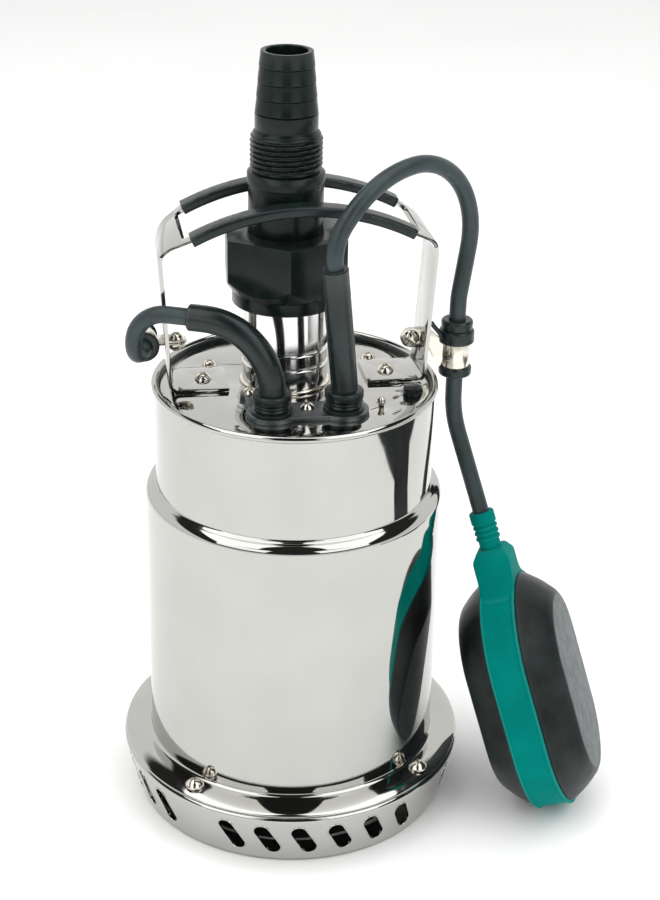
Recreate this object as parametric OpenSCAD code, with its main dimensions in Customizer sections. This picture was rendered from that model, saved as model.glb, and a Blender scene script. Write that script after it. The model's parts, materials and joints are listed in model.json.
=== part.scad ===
// Submersible sump pump with a float switch.
// Origin: centre of the flat underside. +Z up, +X towards the float, -Y is the front with the cable glands.

/* [Casing] */
// Outer radius of the lower casing drum
drum_r = 72; // [71:0.5:73]
// Outer radius of the narrower upper casing
upper_r = 66.8; // [66:0.2:67.4]
// Height of the shoulder between the two drums
shoulder_z = 164.4; // [155:0.2:170]
// Height of the rolled rim above the floor
rim_z = 222.5; // [222:0.1:223]
// Thickness of the casing sheet
sheet_t = 1.2; // [1:0.1:1.4]

/* [Strainer base] */
// Radius of the underside
foot_r = 79.4; // [78:0.2:80]
// Radius of the base at its widest edge
edge_r = 86; // [85.5:0.1:86.5]
// Height of the strainer base
base_h = 31; // [30.5:0.1:31]
// Width of one inlet slot
slot_w = 7.4; // [6:0.2:8]
// Distance between the two end centres of a slot
slot_run = 11.4; // [10:0.2:12]
// Lean of a slot from the vertical
slot_lean = 27; // [20:1:30]
// Slots between two neighbouring base screws
slots_per_side = 6; // [4:1:6]

/* [Outlet] */
// Outlet axis, left or right of the pump axis
outlet_x = -4; // [-5:0.5:-3]
// Outlet axis, behind the pump axis
outlet_y = 7; // [6:0.5:8]
// Outer radius of the outlet neck
neck_r = 20.3; // [19.9:0.1:20.5]
// Union nut size across its flats
nut_flats = 55; // [54:0.5:56]
// Major radius of the male pipe thread (G1)
thread_r = 16.6; // [16.4:0.05:16.7]
// Radius of the plain seat on the hose tail
tail_seat_r = 14.4; // [14:0.1:14.6]
// Height of the hose tail's mouth above the floor
tail_top_z = 377; // [375:0.5:378]

/* [Handle] */
// Handle centre, left or right of the pump axis
handle_x = 1; // [0:0.5:1]
// Width of the strap in the legs
strap_w = 27; // [24:0.5:27]
// Thickness of the strap
strap_t = 1.8; // [1.6:0.1:2]
// Height of the strap's crown above the floor
crown_z = 311.6; // [310:0.2:313]
// Bend radius of the arched crown
crown_r = 109.5; // [108:0.5:112]
// Width of one moulded grip
grip_w = 10; // [9.6:0.1:10.4]
// Thickness of one moulded grip
grip_t = 4.8; // [4.4:0.1:5.4]

/* [Cables] */
// Radius of both cables
cable_r = 4.1; // [4:0.05:4.2]
// Outer radius of the strain relief boots
boot_r = 6.2; // [5.8:0.1:6.6]
// Straight part of the float cable above its gland
float_rise = 56; // [54:0.5:58]
// Lean of the float cable's straight part
float_rise_lean = 7.5; // [6:0.5:9]

/* [Float] */
// Length of the float without its neck
float_len = 121; // [118:1:123]
// Width of the float across its green ring
float_w = 82; // [80:1:84]
// Thickness of the float across its two shells
float_t = 49; // [47:1:51]
// Width of the ring between the two shells
ring_w = 17.4; // [16.6:0.2:18]
// Length of the float's neck
float_neck_len = 39; // [38:0.5:40]

/* [Motor] */
// Radius of the motor shaft
shaft_r = 6; // [6:0.05:6.1]
// Radius of the rotor
rotor_r = 25.6; // [25.2:0.1:25.8]
// Length of the rotor and stator stacks
stack_len = 55; // [50:1:56]
// Outer radius of the motor can
can_r = 52; // [51.8:0.1:52.2]
// Radius of the impeller
impeller_r = 45; // [42:0.5:46]
// Vanes of the impeller
vanes = 6; // [5:1:7]

/* [Hidden] */
$fn = 96;
EPS = 0.01;
RUN = 0.05;         // running clearance of parts that turn on each other
GRIP_SLACK = 0.05;
BOOT_SLACK = 0.2;
TUBE_SIDES = 20;
BEND_STEP = 7;
IDENTITY = [[1, 0, 0, 0], [0, 1, 0, 0], [0, 0, 1, 0], [0, 0, 0, 1]];

// casing and lid
shoulder_r = drum_r - upper_r;
bead_r = 1.6;
casing_flange_r = 85.2;
dome_start = 76;
dome_r = 20.8;
foot_fillet = 1.8;
drum_in = drum_r - sheet_t;
upper_in = upper_r - sheet_t;
base_screw_pcr = 78.6;
washer_r = 4.5;
base_head_r = 4.1;
washer_t = 0.9;
foot_in_r = 66;
seal_cord_r = 1.5;
base_screw_r = 2.2;
lid_top = rim_z - 3;
lid_t = 1.5;
lid_under = lid_top - lid_t;
lid_r = upper_in - 1.6;
lid_lip_z = lid_under - 8;

// wet end, stacked up from the base
plate_top = base_h + 2;
diffuser_top = plate_top + 14;
diffuser_r = 60;
inlet_r = 16;
impeller_low = plate_top + 1.5;
impeller_top = impeller_low + 9.5;
hub_low = plate_top + 3;
hub_top = impeller_top + 2;
seal_face = hub_top + 2;
stub_r = shaft_r - 1;
nut_low = hub_low - 5;

// motor, stacked up from the seal housing
can_t = 1.6;
can_in = can_r - can_t;
can_low = diffuser_top + 4;
can_top = 194;
housing_top = 58;
bracket_low = 62;
bracket_disc = 4;
bearing_h = 10;
bearing_out_r = 16;
race_out_in = 12.7;
race_in_out = 9.3;
ball_r = 2;
ball_pitch = 11;
balls = 7;
groove_r = ball_r + RUN;
lower_bearing_z = 64;
upper_bearing_z = 156;
shoulder_len = upper_bearing_z - lower_bearing_z - bearing_h;
stack_z = 88;
air_gap = 0.4;
stator_slots = 18;
winding_h = 15;
winding_in = 31;
winding_out = 46;
upper_bracket_z = 164;
upper_bracket_top = upper_bracket_z + 4;
cover_top = can_top + 3;
turret_x = 1;
turret_w = 56;
turret_d = 22;
pillar_r = 4.5;

// glands, one on each side of the turret
gland_gap = 33.3;
float_gland_x = turret_x + gland_gap / 2;
power_gland_x = turret_x - gland_gap / 2;
gland_y = -35;
gland_body_r = 7.8;
gland_collar_r = 8.7;
plate_lobe_r = 11.6;
plate_waist = 17;
plate_ear_r = 4.6;
clamp_head_r = 4.1;
float_neck_r = 5.4;
neck_rib_r = 6;
neck_collar_r = 6.2;
neck_collar_h = 6;
neck_rib_pitch = 2.6;
gland_top = lid_top + 11.5;
cable_end_z = lid_under - 8;
plate_t = 2;

// outlet union
neck_wall = 2.4;
union_r = 23.4;
thread_low = 260;
thread_top = 280;
gasket_t = 2;
nut_z = 260;
nut_skirt = 6;
nut_skirt_r = 25;
nut_top = 294;
nut_turn = 26;
body_r = 17.4;
bore_r = 9.5;
collar_z = 316;
male_low = 322.5;
seat_low = 340.5;
seat_len = 9;
tail_mouth_r = 12.1;
barbs = 4;

// handle strap
handle_y = outlet_y;
leg_lean = 3.5;
corner_r = 12;
foot_bend_r = 4;
crown_half = 32.2;
foot_inner = 33;
strap_mid_z = lid_top + strap_t / 2;
leg_heading = 90 + leg_lean;
strap_top_z = crown_z - strap_t / 2;
crown_centre = [0, strap_top_z - crown_r];
corner_centre = crown_centre + (crown_r - corner_r) * [sin(crown_half), cos(crown_half)];
leg_top = corner_centre + corner_r * [sin(leg_heading), cos(leg_heading)];
foot_centre_z = strap_mid_z + foot_bend_r;
foot_start_z = foot_centre_z + foot_bend_r * cos(leg_heading);
foot_start_x = leg_top[0] - (leg_top[1] - foot_start_z) * tan(leg_lean);
foot_centre = [foot_start_x - foot_bend_r * sin(leg_heading), foot_centre_z];
// points on a bend with their headings, turning clockwise from heading a to heading b
function bend_line(centre, r, a, b, parts) = [
    for (k = [0 : parts]) let (h = a + (b - a) * k / parts) [centre[0] + r * sin(h), centre[1] + r * cos(h), h]];
strap_line = concat(
    bend_line(crown_centre, crown_r, 0, crown_half, 14),
    bend_line(corner_centre, corner_r, crown_half + 3, leg_heading, 10),
    bend_line(foot_centre, foot_bend_r, leg_heading, 180, 6),
    [[foot_inner, strap_mid_z, 180]]);
window_half = 19.3;
window_len = 110;
strip_w = 7.7;
crown_w = 2 * (window_half + strip_w);
wide_z = 300;
narrow_z = 287;
grip_half = 27.5;
grip_y = window_half + strip_w / 2;
foot_screw_x = 44;
lid_screw_x = 39;
lid_screw_y = handle_y + 19.2;

// lengths that carry a cut or a sketch right through its part
CUT_SHORT = 10;
CUT = 40;
CUT_LONG = 200;

// share of each quarter turn that a group of inlet slots takes up
slot_arc = 74.4;
slot_group_turn = 2.5;

// clamp on the right leg: an upright band
right_clamp_x = 79.5;
right_clamp_z = 222;
clamp_h = 12.5;
clamp_in = 6;
clamp_t = 0.8;
clamp_gap = 0.3;
ear_slot = 2 * (clamp_t + RUN) + clamp_gap;
grommet_top = 246;
grommet_low = 217.5;
grommet_flange_r = 8.7;
right_ear_z = [232.5, 242.5];
right_screw = [57, 237.5];
ear_knee_x = 65;

// float cable: a flat loop in the upright plane through its gland and the clamp
loop_dx = right_clamp_x - float_gland_x;
loop_dy = outlet_y - gland_y;
loop_span = norm([loop_dx, loop_dy]);
loop_azimuth = atan2(loop_dy, loop_dx);
loop_start = gland_top;
lean_r = 40;
first_bend_r = 22;
first_bend_to = 42;
second_bend_r = 58;
inward = 12;
last_bend_r = 25;
clamp_lead = 8;
// horizontal and vertical travel of a bend of radius r that turns from heading a to heading b
function run_x(r, a, b) = r * (cos(a) - cos(b));
function run_z(r, a, b) = r * (sin(b) - sin(a));
loop_x_left = loop_span - (
    -run_x(lean_r, 0, -float_rise_lean) - float_rise * sin(float_rise_lean)
    + run_x(first_bend_r, -float_rise_lean, first_bend_to) + run_x(second_bend_r, first_bend_to, 90)
    - run_x(last_bend_r, 180 + inward, 180));
loop_z_left = grommet_top - loop_start - (
    -run_z(lean_r, 0, -float_rise_lean) + float_rise * cos(float_rise_lean)
    + run_z(first_bend_r, -float_rise_lean, first_bend_to) + run_z(second_bend_r, first_bend_to, 90)
    - run_z(last_bend_r, 180 + inward, 180) - clamp_lead);
// the down-bend's radius and the straight after it close the loop on the clamp
loop_a = cos(inward);
loop_b = -sin(inward);
loop_c = -sin(inward) - 1;
loop_d = -cos(inward);
loop_det = loop_a * loop_d - loop_b * loop_c;
down_bend_r = (loop_x_left * loop_d - loop_b * loop_z_left) / loop_det;
down_run = (loop_a * loop_z_left - loop_c * loop_x_left) / loop_det;
hang_z = 209;        // pivot of the hanging cable
swing_gap = 1;
float_steps = [
    [loop_start - cable_end_z, lean_r, -float_rise_lean, 0],
    [float_rise, first_bend_r, first_bend_to + float_rise_lean, 0],
    [0, second_bend_r, 90 - first_bend_to, 0],
    [0, down_bend_r, 90 + inward, 0],
    [down_run, last_bend_r, -inward, 0],
    [clamp_lead + grommet_top - hang_z - cable_r - swing_gap, 0, 0, 0],
];
float_boot_steps = [
    [0, lean_r, -float_rise_lean, 0],
    [float_rise - 1, 0, 0, 0],
];

// power cable: over the left leg, round and into its clamp from outside
arm_azimuth = 156.4;
arm_up_r = 32;
arm_run = 18;
arm_down_r = 16;
tuck_azimuth = 63;
tuck_roll = 2 * arm_azimuth + 180 - tuck_azimuth;
tuck_r = 8;
align_r = 16;
arm_reach = arm_up_r + arm_run + arm_down_r;
arm_end = [power_gland_x + arm_reach * cos(arm_azimuth), gland_y + arm_reach * sin(arm_azimuth)];
tuck_end = arm_end + tuck_r * [cos(tuck_azimuth), sin(tuck_azimuth)];
align_turn = 90 - tuck_azimuth;
align_end = tuck_end + align_r * [
    cos(tuck_azimuth) * sin(align_turn) - sin(tuck_azimuth) * (1 - cos(align_turn)),
    sin(tuck_azimuth) * sin(align_turn) + cos(tuck_azimuth) * (1 - cos(align_turn))];
left_clamp_x = align_end[0];
left_clamp_y = align_end[1] + 1;
left_clamp_z = gland_top + arm_up_r - arm_down_r - tuck_r;
tail_run = 22;
boot_run = 7;
core_len = 9;
left_ear_y = [left_clamp_y + 1.25, left_clamp_y + 11.25];
left_screw_x = -55;
power_steps = [
    [gland_top - cable_end_z, arm_up_r, 90, arm_azimuth],
    [arm_run, arm_down_r, 90, arm_azimuth],
    [0, tuck_r, 90, tuck_roll],
    [0, align_r, align_turn, tuck_roll - 90],
    [tail_run, 0, 0, 0],
];
power_boot_steps = [
    [0, arm_up_r, 90, arm_azimuth],
    [boot_run, 0, 0, 0],
];

// hanging cable and float
hang_azimuth = -45.5;
hang_lean = 22;
hang_bend_r = 54;
hang_start = 2;
hang_run = 37.5;
hang_reach = run_x(hang_bend_r, 0, hang_lean) + hang_run * sin(hang_lean);
hang_drop = hang_start + hang_bend_r * sin(hang_lean) + hang_run * cos(hang_lean);
float_pivot = [
    right_clamp_x + hang_reach * cos(hang_azimuth),
    outlet_y + hang_reach * sin(hang_azimuth),
    hang_z - hang_drop];
float_turn = [-10, -19.7, -19.5];
neck_gap = cable_r + RUN;
ring_top = -neck_gap - float_neck_len;
ring_mid = ring_top - float_w / 2 + 3;
ring_run = float_len - float_w;
shell_wall = 2.2;
block_len = 20;
face_inset = 14;
tube_r = 7.6;
switch_ball_r = 6;
ball_travel = 20;
ball_rest = ring_mid - ring_run;

// ---------- shared shapes ----------

// a ring round the Z axis, standing on z
module ring(z, h, r_out, r_in) {
    translate([0, 0, z])
    difference() {
        cylinder(h = h, r = r_out);
        translate([0, 0, -1])
        cylinder(h = h + 2, r = r_in);
    }
}

// a flat rectangle with round corners, centred
module soft_rect(w, d, r) {
    square([w, d - 2 * r], center = true);
    square([w - 2 * r, d], center = true);
    for (x = [-1, 1], y = [-1, 1])
    translate([x * (w / 2 - r), y * (d / 2 - r)])
    circle(r);
}

// a tube swept along a route: a chain of steps [straight length, bend radius, turn, roll of the bend]
module tube(steps, r, low_cap = false, high_cap = false) {
    frames = concat([IDENTITY], trace(steps, IDENTITY));
    count = len(frames);
    sections = concat(
        low_cap ? [for (a = [80 : -20 : 20]) [frames[0] * shift([0, 0, -r * sin(a)]), r * cos(a)]] : [],
        [for (frame = frames) [frame, r]],
        high_cap ? [for (a = [20 : 20 : 80]) [frames[count - 1] * shift([0, 0, r * sin(a)]), r * cos(a)]] : []);
    points = [for (s = sections, k = [0 : TUBE_SIDES - 1]) section_point(s, k * 360 / TUBE_SIDES)];
    last = (len(sections) - 1) * TUBE_SIDES;
    polyhedron(points, concat(
        [[for (k = [0 : TUBE_SIDES - 1]) k]],
        [[for (k = [TUBE_SIDES - 1 : -1 : 0]) last + k]],
        [for (i = [1 : len(sections) - 1], k = [0 : TUBE_SIDES - 1]) each tube_quad(i, k)]));
}

function shift(v) = [[1, 0, 0, v[0]], [0, 1, 0, v[1]], [0, 0, 1, v[2]], [0, 0, 0, 1]];
function pitch(a) = [[cos(a), 0, sin(a), 0], [0, 1, 0, 0], [-sin(a), 0, cos(a), 0], [0, 0, 0, 1]];
function roll(a) = [[cos(a), -sin(a), 0, 0], [sin(a), cos(a), 0, 0], [0, 0, 1, 0], [0, 0, 0, 1]];
function signed_r(step) = step[1] * sign(step[2]);
// the frame after a part of a step's bend
function bent(m, step, part) = m * shift([0, 0, step[0]]) * roll(step[3]) * shift([signed_r(step), 0, 0])
    * pitch(step[2] * part) * shift([-signed_r(step), 0, 0]) * roll(-step[3]);
function trace(steps, m, i = 0) = i == len(steps) ? [] : concat(
    steps[i][0] > 0 ? [m * shift([0, 0, steps[i][0]])] : [],
    [for (k = [1 : 1 : bend_parts(steps[i])]) bent(m, steps[i], k / bend_parts(steps[i]))],
    trace(steps, bent(m, steps[i], 1), i + 1));
function bend_parts(step) = ceil(abs(step[2]) / BEND_STEP);
function section_point(s, a) = [for (c = [0 : 2]) (s[0] * [s[1] * cos(a), s[1] * sin(a), 0, 1])[c]];
function tube_quad(i, k) = let (n = TUBE_SIDES, a = (i - 1) * n + k, b = (i - 1) * n + (k + 1) % n)
    [[a, a + n, b], [b, a + n, b + n]];

// a pan head screw with a cross recess, its head's underside at z = 0 and its shank along -Z
module pan_screw(head_r, head_h, shank_r, shank_len) {
    dome_r = (head_r * head_r + head_h * head_h) / (2 * head_h);
    difference() {
        intersection() {
            cylinder(h = head_h, r = head_r);
            translate([0, 0, head_h - dome_r])
            sphere(dome_r);
        }
        for (a = [45, 135])
        rotate([0, 0, a])
        translate([0, 0, head_h])
        cube([head_r * 1.1, head_r * 0.24, head_h * 1.2], center = true);
    }
    translate([0, 0, -shank_len])
    cylinder(h = shank_len, r = shank_r);
}

module at_outlet() {
    translate([outlet_x, outlet_y, 0])
    children();
}

// ---------- base and casing ----------

// everything below the domed top of the base, lifted by rise
module under_dome(rise) {
    square([dome_start, base_h + rise]);
    translate([dome_start, base_h - dome_r])
    circle(dome_r + rise);
}

module base_section(inset) {
    intersection() {
        under_dome(-inset);
        polygon([
            [0, inset], [foot_r - 1 - inset, inset], [foot_r - inset, 1 + inset], [edge_r - inset, base_h - 3.5],
            [edge_r - 0.6 - inset, base_h], [0, base_h]]);
    }
}

module inlet_slot() {
    rotate([0, 90, 0])
    rotate([0, 0, slot_lean]) {
        for (end = [-1, 1])
        translate([end * slot_run / 2, 0, 0])
        cylinder(h = 20, r = slot_w / 2);
        translate([-slot_run / 2, -slot_w / 2, 0])
        cube([slot_run, slot_w, 20]);
    }
}

module strainer_base() {
    pitch = slot_arc / slots_per_side;
    color("gainsboro")
    difference() {
        rotate_extrude()
        difference() {
            base_section(0);
            base_section(sheet_t);
            translate([0, base_h / 2])
            square([foot_in_r, base_h]);
        }
        for (side = [0 : 3], i = [0 : slots_per_side - 1])
        rotate([0, 0, side * 90 - 90 + slot_group_turn + (i - (slots_per_side - 1) / 2) * pitch])
        translate([72, 0, base_h * 0.46])
        inlet_slot();
        for (a = base_screw_angles())
        rotate([0, 0, a])
        base_screw_hole();
    }
}

function base_screw_angles() = [for (i = [0 : 3]) 45 + 90 * i];

module base_screw_hole() {
    translate([base_screw_pcr, 0, base_h - 5])
    cylinder(h = 10, r = base_screw_r);
}

module casing_section(inset) {
    square([drum_r - inset, shoulder_z]);
    translate([upper_r, shoulder_z])
    intersection() {
        circle(shoulder_r - inset);
        square(shoulder_r);
    }
    square([upper_r - inset, rim_z - bead_r]);
}

module outer_casing() {
    color("gainsboro")
    difference() {
        rotate_extrude()
        difference() {
            union() {
                casing_section(0);
                intersection() {
                    square([casing_flange_r, base_h + sheet_t]);
                    under_dome(sheet_t);
                }
                translate([drum_r, base_h + sheet_t])
                difference() {
                    square(foot_fillet);
                    translate([foot_fillet, foot_fillet])
                    circle(foot_fillet);
                }
                translate([upper_r - 0.3, rim_z - bead_r])
                circle(bead_r);
            }
            casing_section(sheet_t);
            under_dome(0);
            translate([0, rim_z - 8])
            square([upper_in, 12]);
        }
        for (a = base_screw_angles())
        rotate([0, 0, a])
        base_screw_hole();
    }
}

module casing_ring_seal() {
    color("black")
    translate([0, 0, plate_top])
    rotate_extrude()
    translate([drum_in - seal_cord_r, seal_cord_r])
    circle(seal_cord_r);
}

module base_screws() {
    color("silver")
    for (a = base_screw_angles())
    rotate([0, 0, a])
    translate([base_screw_pcr, 0, base_h + sheet_t]) {
        ring(0, washer_t, washer_r, 2);
        translate([0, 0, washer_t])
        pan_screw(base_head_r, 2.8, 2, 7);
    }
}

module lid() {
    color("gainsboro")
    difference() {
        union() {
            translate([0, 0, lid_under])
            cylinder(h = lid_t, r = lid_r);
            ring(lid_lip_z, lid_under - lid_lip_z, lid_r, lid_r - sheet_t);
        }
        at_outlet()
        translate([0, 0, lid_under - 1])
        cylinder(h = 5, r = neck_r);
        for (x = [float_gland_x, power_gland_x])
        translate([x, gland_y, lid_under - 1])
        cylinder(h = 5, r = gland_body_r);
        for (p = concat(lid_hole_places(), gland_screw_places()))
        translate([p[0], p[1], lid_under - 1])
        cylinder(h = 5, r = 2);
        for (p = [bleed_place(), plug_place()])
        translate([p[0], p[1], lid_under - 1])
        cylinder(h = 5, r = p[2]);
    }
}

function lid_hole_places() = [
    for (side = [-1, 1]) [handle_x + side * foot_screw_x, handle_y],
    for (side = [-1, 1]) [handle_x + side * lid_screw_x, lid_screw_y]];
function gland_screw_places() = [
    [turret_x, gland_y + 2], [turret_x - 24, gland_y + 22], [turret_x + 24, gland_y + 22]];
function bleed_place() = [36, -31, 1.2];
function plug_place() = [53.5, -18, 3];

module lid_seal() {
    color("black")
    rotate_extrude() {
        translate([lid_r, lid_lip_z + 1])
        square([upper_in - lid_r, lid_top + 0.6 - lid_lip_z - 1]);
        translate([(lid_r + upper_in) / 2, lid_top + 0.6])
        circle((upper_in - lid_r) / 2);
    }
}

module lid_screws() {
    color("silver")
    for (side = [-1, 1])
    translate([handle_x + side * lid_screw_x, lid_screw_y, lid_top])
    pan_screw(3.6, 2.8, 2, 14);
}

// ---------- handle ----------

function offset_line(d) = [for (p = strap_line) [p[0] + d * sin(p[2]), p[1] + d * cos(p[2])]];
function mirrored(points) = [for (i = [len(points) - 1 : -1 : 1]) [-points[i][0], points[i][1]]];
function reversed(points) = [for (i = [len(points) - 1 : -1 : 0]) points[i]];

module strap_side_view() {
    outer = offset_line(strap_t / 2);
    inner = offset_line(-strap_t / 2);
    polygon(concat(mirrored(outer), outer, reversed(inner), reversed(mirrored(inner))));
}

module strap_front_view() {
    half_leg = strap_w / 2;
    half_crown = crown_w / 2;
    polygon([
        [-half_leg, lid_top - 1], [half_leg, lid_top - 1], [half_leg, narrow_z], [half_crown, wide_z],
        [half_crown, crown_z + 5], [-half_crown, crown_z + 5], [-half_crown, wide_z], [-half_leg, narrow_z]]);
}

module handle_strap() {
    color("gainsboro")
    translate([handle_x, handle_y, 0])
    difference() {
        intersection() {
            rotate([90, 0, 0])
            linear_extrude(crown_w, center = true)
            strap_side_view();
            rotate([90, 0, 90])
            linear_extrude(CUT_LONG, center = true)
            strap_front_view();
        }
        translate([0, 0, wide_z - 4])
        linear_extrude(CUT)
        soft_rect(window_len, 2 * window_half, 4);
        for (side = [-1, 1])
        translate([side * foot_screw_x, 0, lid_top - 1])
        cylinder(h = 5, r = 2);
        translate([right_screw[0] - handle_x, -ear_slot / 2, right_ear_z[0]])
        cube([15, ear_slot, right_ear_z[1] - right_ear_z[0]]);
        translate([left_screw_x - handle_x - 15, left_ear_y[0] - handle_y, left_clamp_z - ear_slot / 2])
        cube([15, left_ear_y[1] - left_ear_y[0], ear_slot]);
    }
}

module grip(side) {
    color("black")
    translate([handle_x, handle_y + side * grip_y, crown_centre[1]])
    rotate([90, -90 + grip_half, 0])
    rotate_extrude(angle = 2 * grip_half)
    translate([crown_r, 0])
    difference() {
        soft_rect(grip_t, grip_w, 1.6);
        square([strap_t + 2 * GRIP_SLACK, strip_w + 2 * GRIP_SLACK], center = true);
    }
}

module front_grip() {
    grip(-1);
}

module rear_grip() {
    grip(1);
}

module handle_screws() {
    color("silver")
    for (side = [-1, 1])
    translate([handle_x + side * foot_screw_x, handle_y, lid_top + strap_t])
    pan_screw(4.2, 2.8, 2, 15);
}

// ---------- outlet ----------

module outlet_neck() {
    bead_z = [231, 238.5];
    color("silver")
    at_outlet()
    difference() {
        union() {
            translate([0, 0, lid_under - 2])
            cylinder(h = thread_top - lid_under + 2, r = neck_r);
            translate([0, 0, thread_low])
            cylinder(h = thread_top - thread_low, r = union_r);
        }
        translate([0, 0, lid_under - 3])
        cylinder(h = CUT_LONG, r = neck_r - neck_wall);
        for (z = bead_z)
        rotate_extrude()
        translate([neck_r + 0.5, z])
        circle(1.1);
    }
}

module outlet_gasket() {
    color("black")
    at_outlet()
    ring(thread_top, gasket_t, union_r, bore_r + 1);
}

module barb(z, r, h) {
    translate([0, 0, z])
    cylinder(h = h, r1 = r, r2 = r - 0.9);
}

module hose_adapter() {
    flange_z = thread_top + gasket_t;
    ridge = 2.6;
    flank = 0.4 * ridge;
    root_r = thread_r - 1.3;
    ridges = floor((seat_low - male_low) / ridge);
    tail_z = seat_low + seat_len;
    barb_h = (tail_top_z - tail_z) / barbs;
    color("darkslategray")
    at_outlet()
    difference() {
        union() {
            translate([0, 0, flange_z])
            cylinder(h = 5, r = union_r);
            translate([0, 0, flange_z])
            cylinder(h = collar_z - flange_z, r = body_r);
            translate([0, 0, collar_z])
            cylinder(h = male_low - collar_z, r = body_r + 0.5);
            translate([0, 0, male_low])
            cylinder(h = seat_low - male_low, r = root_r);
            for (i = [0 : ridges - 1])
            translate([0, 0, male_low + (i + 0.5) * ridge]) {
                cylinder(h = flank, r1 = root_r, r2 = thread_r);
                translate([0, 0, flank])
                cylinder(h = flank, r1 = thread_r, r2 = root_r);
            }
            translate([0, 0, seat_low])
            cylinder(h = seat_len, r = tail_seat_r);
            for (i = [0 : barbs - 1])
            barb(tail_z + i * barb_h, tail_seat_r - 0.1 - i * (tail_seat_r - tail_mouth_r) / barbs, barb_h);
        }
        translate([0, 0, flange_z - 1])
        cylinder(h = CUT_LONG, r = bore_r);
    }
}

module union_nut() {
    color("darkslategray")
    at_outlet()
    difference() {
        union() {
            translate([0, 0, nut_z])
            cylinder(h = nut_skirt, r = nut_skirt_r);
            intersection() {
                translate([0, 0, nut_z + nut_skirt - 1])
                rotate([0, 0, nut_turn])
                cylinder(h = nut_top - nut_z - nut_skirt + 1, r = nut_flats / 2 / cos(30), $fn = 6);
                translate([0, 0, nut_z + nut_skirt - 1])
                cylinder(h = CUT, r1 = nut_skirt_r - 0.8, r2 = nut_skirt_r - 0.8 + 0.82 * CUT);
            }
        }
        translate([0, 0, nut_z - 1])
        cylinder(h = thread_top + gasket_t + 5 + RUN - nut_z + 1, r = union_r + RUN);
        translate([0, 0, nut_z])
        cylinder(h = CUT, r = body_r + RUN);
    }
}

// ---------- glands, boots and cables ----------

module gland_plate() {
    color("dimgray")
    translate([0, 0, lid_top])
    difference() {
        linear_extrude(plate_t) {
            for (x = [float_gland_x, power_gland_x])
            translate([x, gland_y])
            circle(plate_lobe_r);
            translate([turret_x, gland_y])
            square([gland_gap, plate_waist], center = true);
            for (p = gland_screw_places())
            translate([p[0], p[1]])
            circle(plate_ear_r);
            for (side = [-1, 1])
            translate([turret_x + side * 20.5, gland_y + 13])
            square([13, 15], center = true);
        }
        for (x = [float_gland_x, power_gland_x])
        translate([x, gland_y, -1])
        cylinder(h = 5, r = gland_body_r);
        for (p = gland_screw_places())
        translate([p[0], p[1], -1])
        cylinder(h = 5, r = 1.8);
    }
}

module gland_screws() {
    color("silver")
    for (p = gland_screw_places())
    translate([p[0], p[1], lid_top + plate_t])
    pan_screw(3.4, 2.6, 1.8, 9);
}

module gland(x) {
    color("black")
    translate([x, gland_y, 0])
    difference() {
        union() {
            translate([0, 0, lid_under - 4])
            cylinder(h = gland_top - lid_under + 4 - 5, r = gland_body_r);
            translate([0, 0, gland_top - 5])
            cylinder(h = 5, r = gland_collar_r);
        }
        translate([0, 0, lid_under - 5])
        cylinder(h = 30, r = cable_r + RUN);
    }
}

module float_gland() {
    gland(float_gland_x);
}

module power_gland() {
    gland(power_gland_x);
}

module at_float_gland(z) {
    translate([float_gland_x, gland_y, z])
    rotate([0, 0, loop_azimuth])
    children();
}

module at_power_gland(z) {
    translate([power_gland_x, gland_y, z])
    children();
}

module boot(steps) {
    color("black")
    difference() {
        tube(steps, boot_r);
        translate([0, 0, -1])
        tube(concat([[1, 0, 0, 0]], steps, [[1, 0, 0, 0]]), cable_r + BOOT_SLACK);
    }
}

module float_cable_boot() {
    at_float_gland(gland_top)
    boot(float_boot_steps);
}

module power_cable_boot() {
    at_power_gland(gland_top)
    boot(power_boot_steps);
}

module float_cable_upper() {
    color("dimgray")
    at_float_gland(cable_end_z)
    tube(float_steps, cable_r);
}

module power_cable() {
    color("dimgray")
    at_power_gland(cable_end_z)
    tube(power_steps, cable_r);
}

module power_cable_cores() {
    core_colours = ["sienna", "royalblue", "yellowgreen"];
    translate([left_clamp_x, align_end[1] + tail_run, left_clamp_z])
    for (i = [0 : 2])
    color(core_colours[i])
    rotate([0, 120 * i, 0])
    translate([1.8, core_len / 2, 0])
    rotate([90, 0, 0])
    cylinder(h = core_len, r = 1.2, center = true);
}

// a band round the Z axis with two flat ears towards -X
module clamp_band(h) {
    difference() {
        union() {
            cylinder(h = h, r = clamp_in + clamp_t);
            children();
        }
        translate([0, 0, -1])
        cylinder(h = h + 2, r = clamp_in);
        translate([-CUT, -clamp_gap / 2, -CUT / 2])
        cube([CUT, clamp_gap, 1.5 * CUT]);
    }
}

module right_clamp() {
    screw_in = right_clamp_x - right_screw[0];
    leg_in = right_clamp_x - ear_knee_x;
    low = right_ear_z[0] - right_clamp_z;
    high = right_ear_z[1] - right_clamp_z;
    color("silver")
    translate([right_clamp_x, outlet_y, right_clamp_z])
    difference() {
        clamp_band(clamp_h)
        rotate([90, 0, 0])
        linear_extrude(2 * clamp_t + clamp_gap, center = true)
        union() {
            polygon([
                [-clamp_in, 0], [-clamp_in, clamp_h], [-leg_in, high], [-screw_in, high], [-screw_in, low],
                [-leg_in, low], [-clamp_in - 3, 0]]);
            translate([-screw_in, (low + high) / 2])
            circle((high - low) / 2);
        }
        translate([right_screw[0] - right_clamp_x, 0, right_screw[1] - right_clamp_z])
        rotate([90, 0, 0])
        cylinder(h = CUT_SHORT, r = 2, center = true);
    }
}

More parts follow.
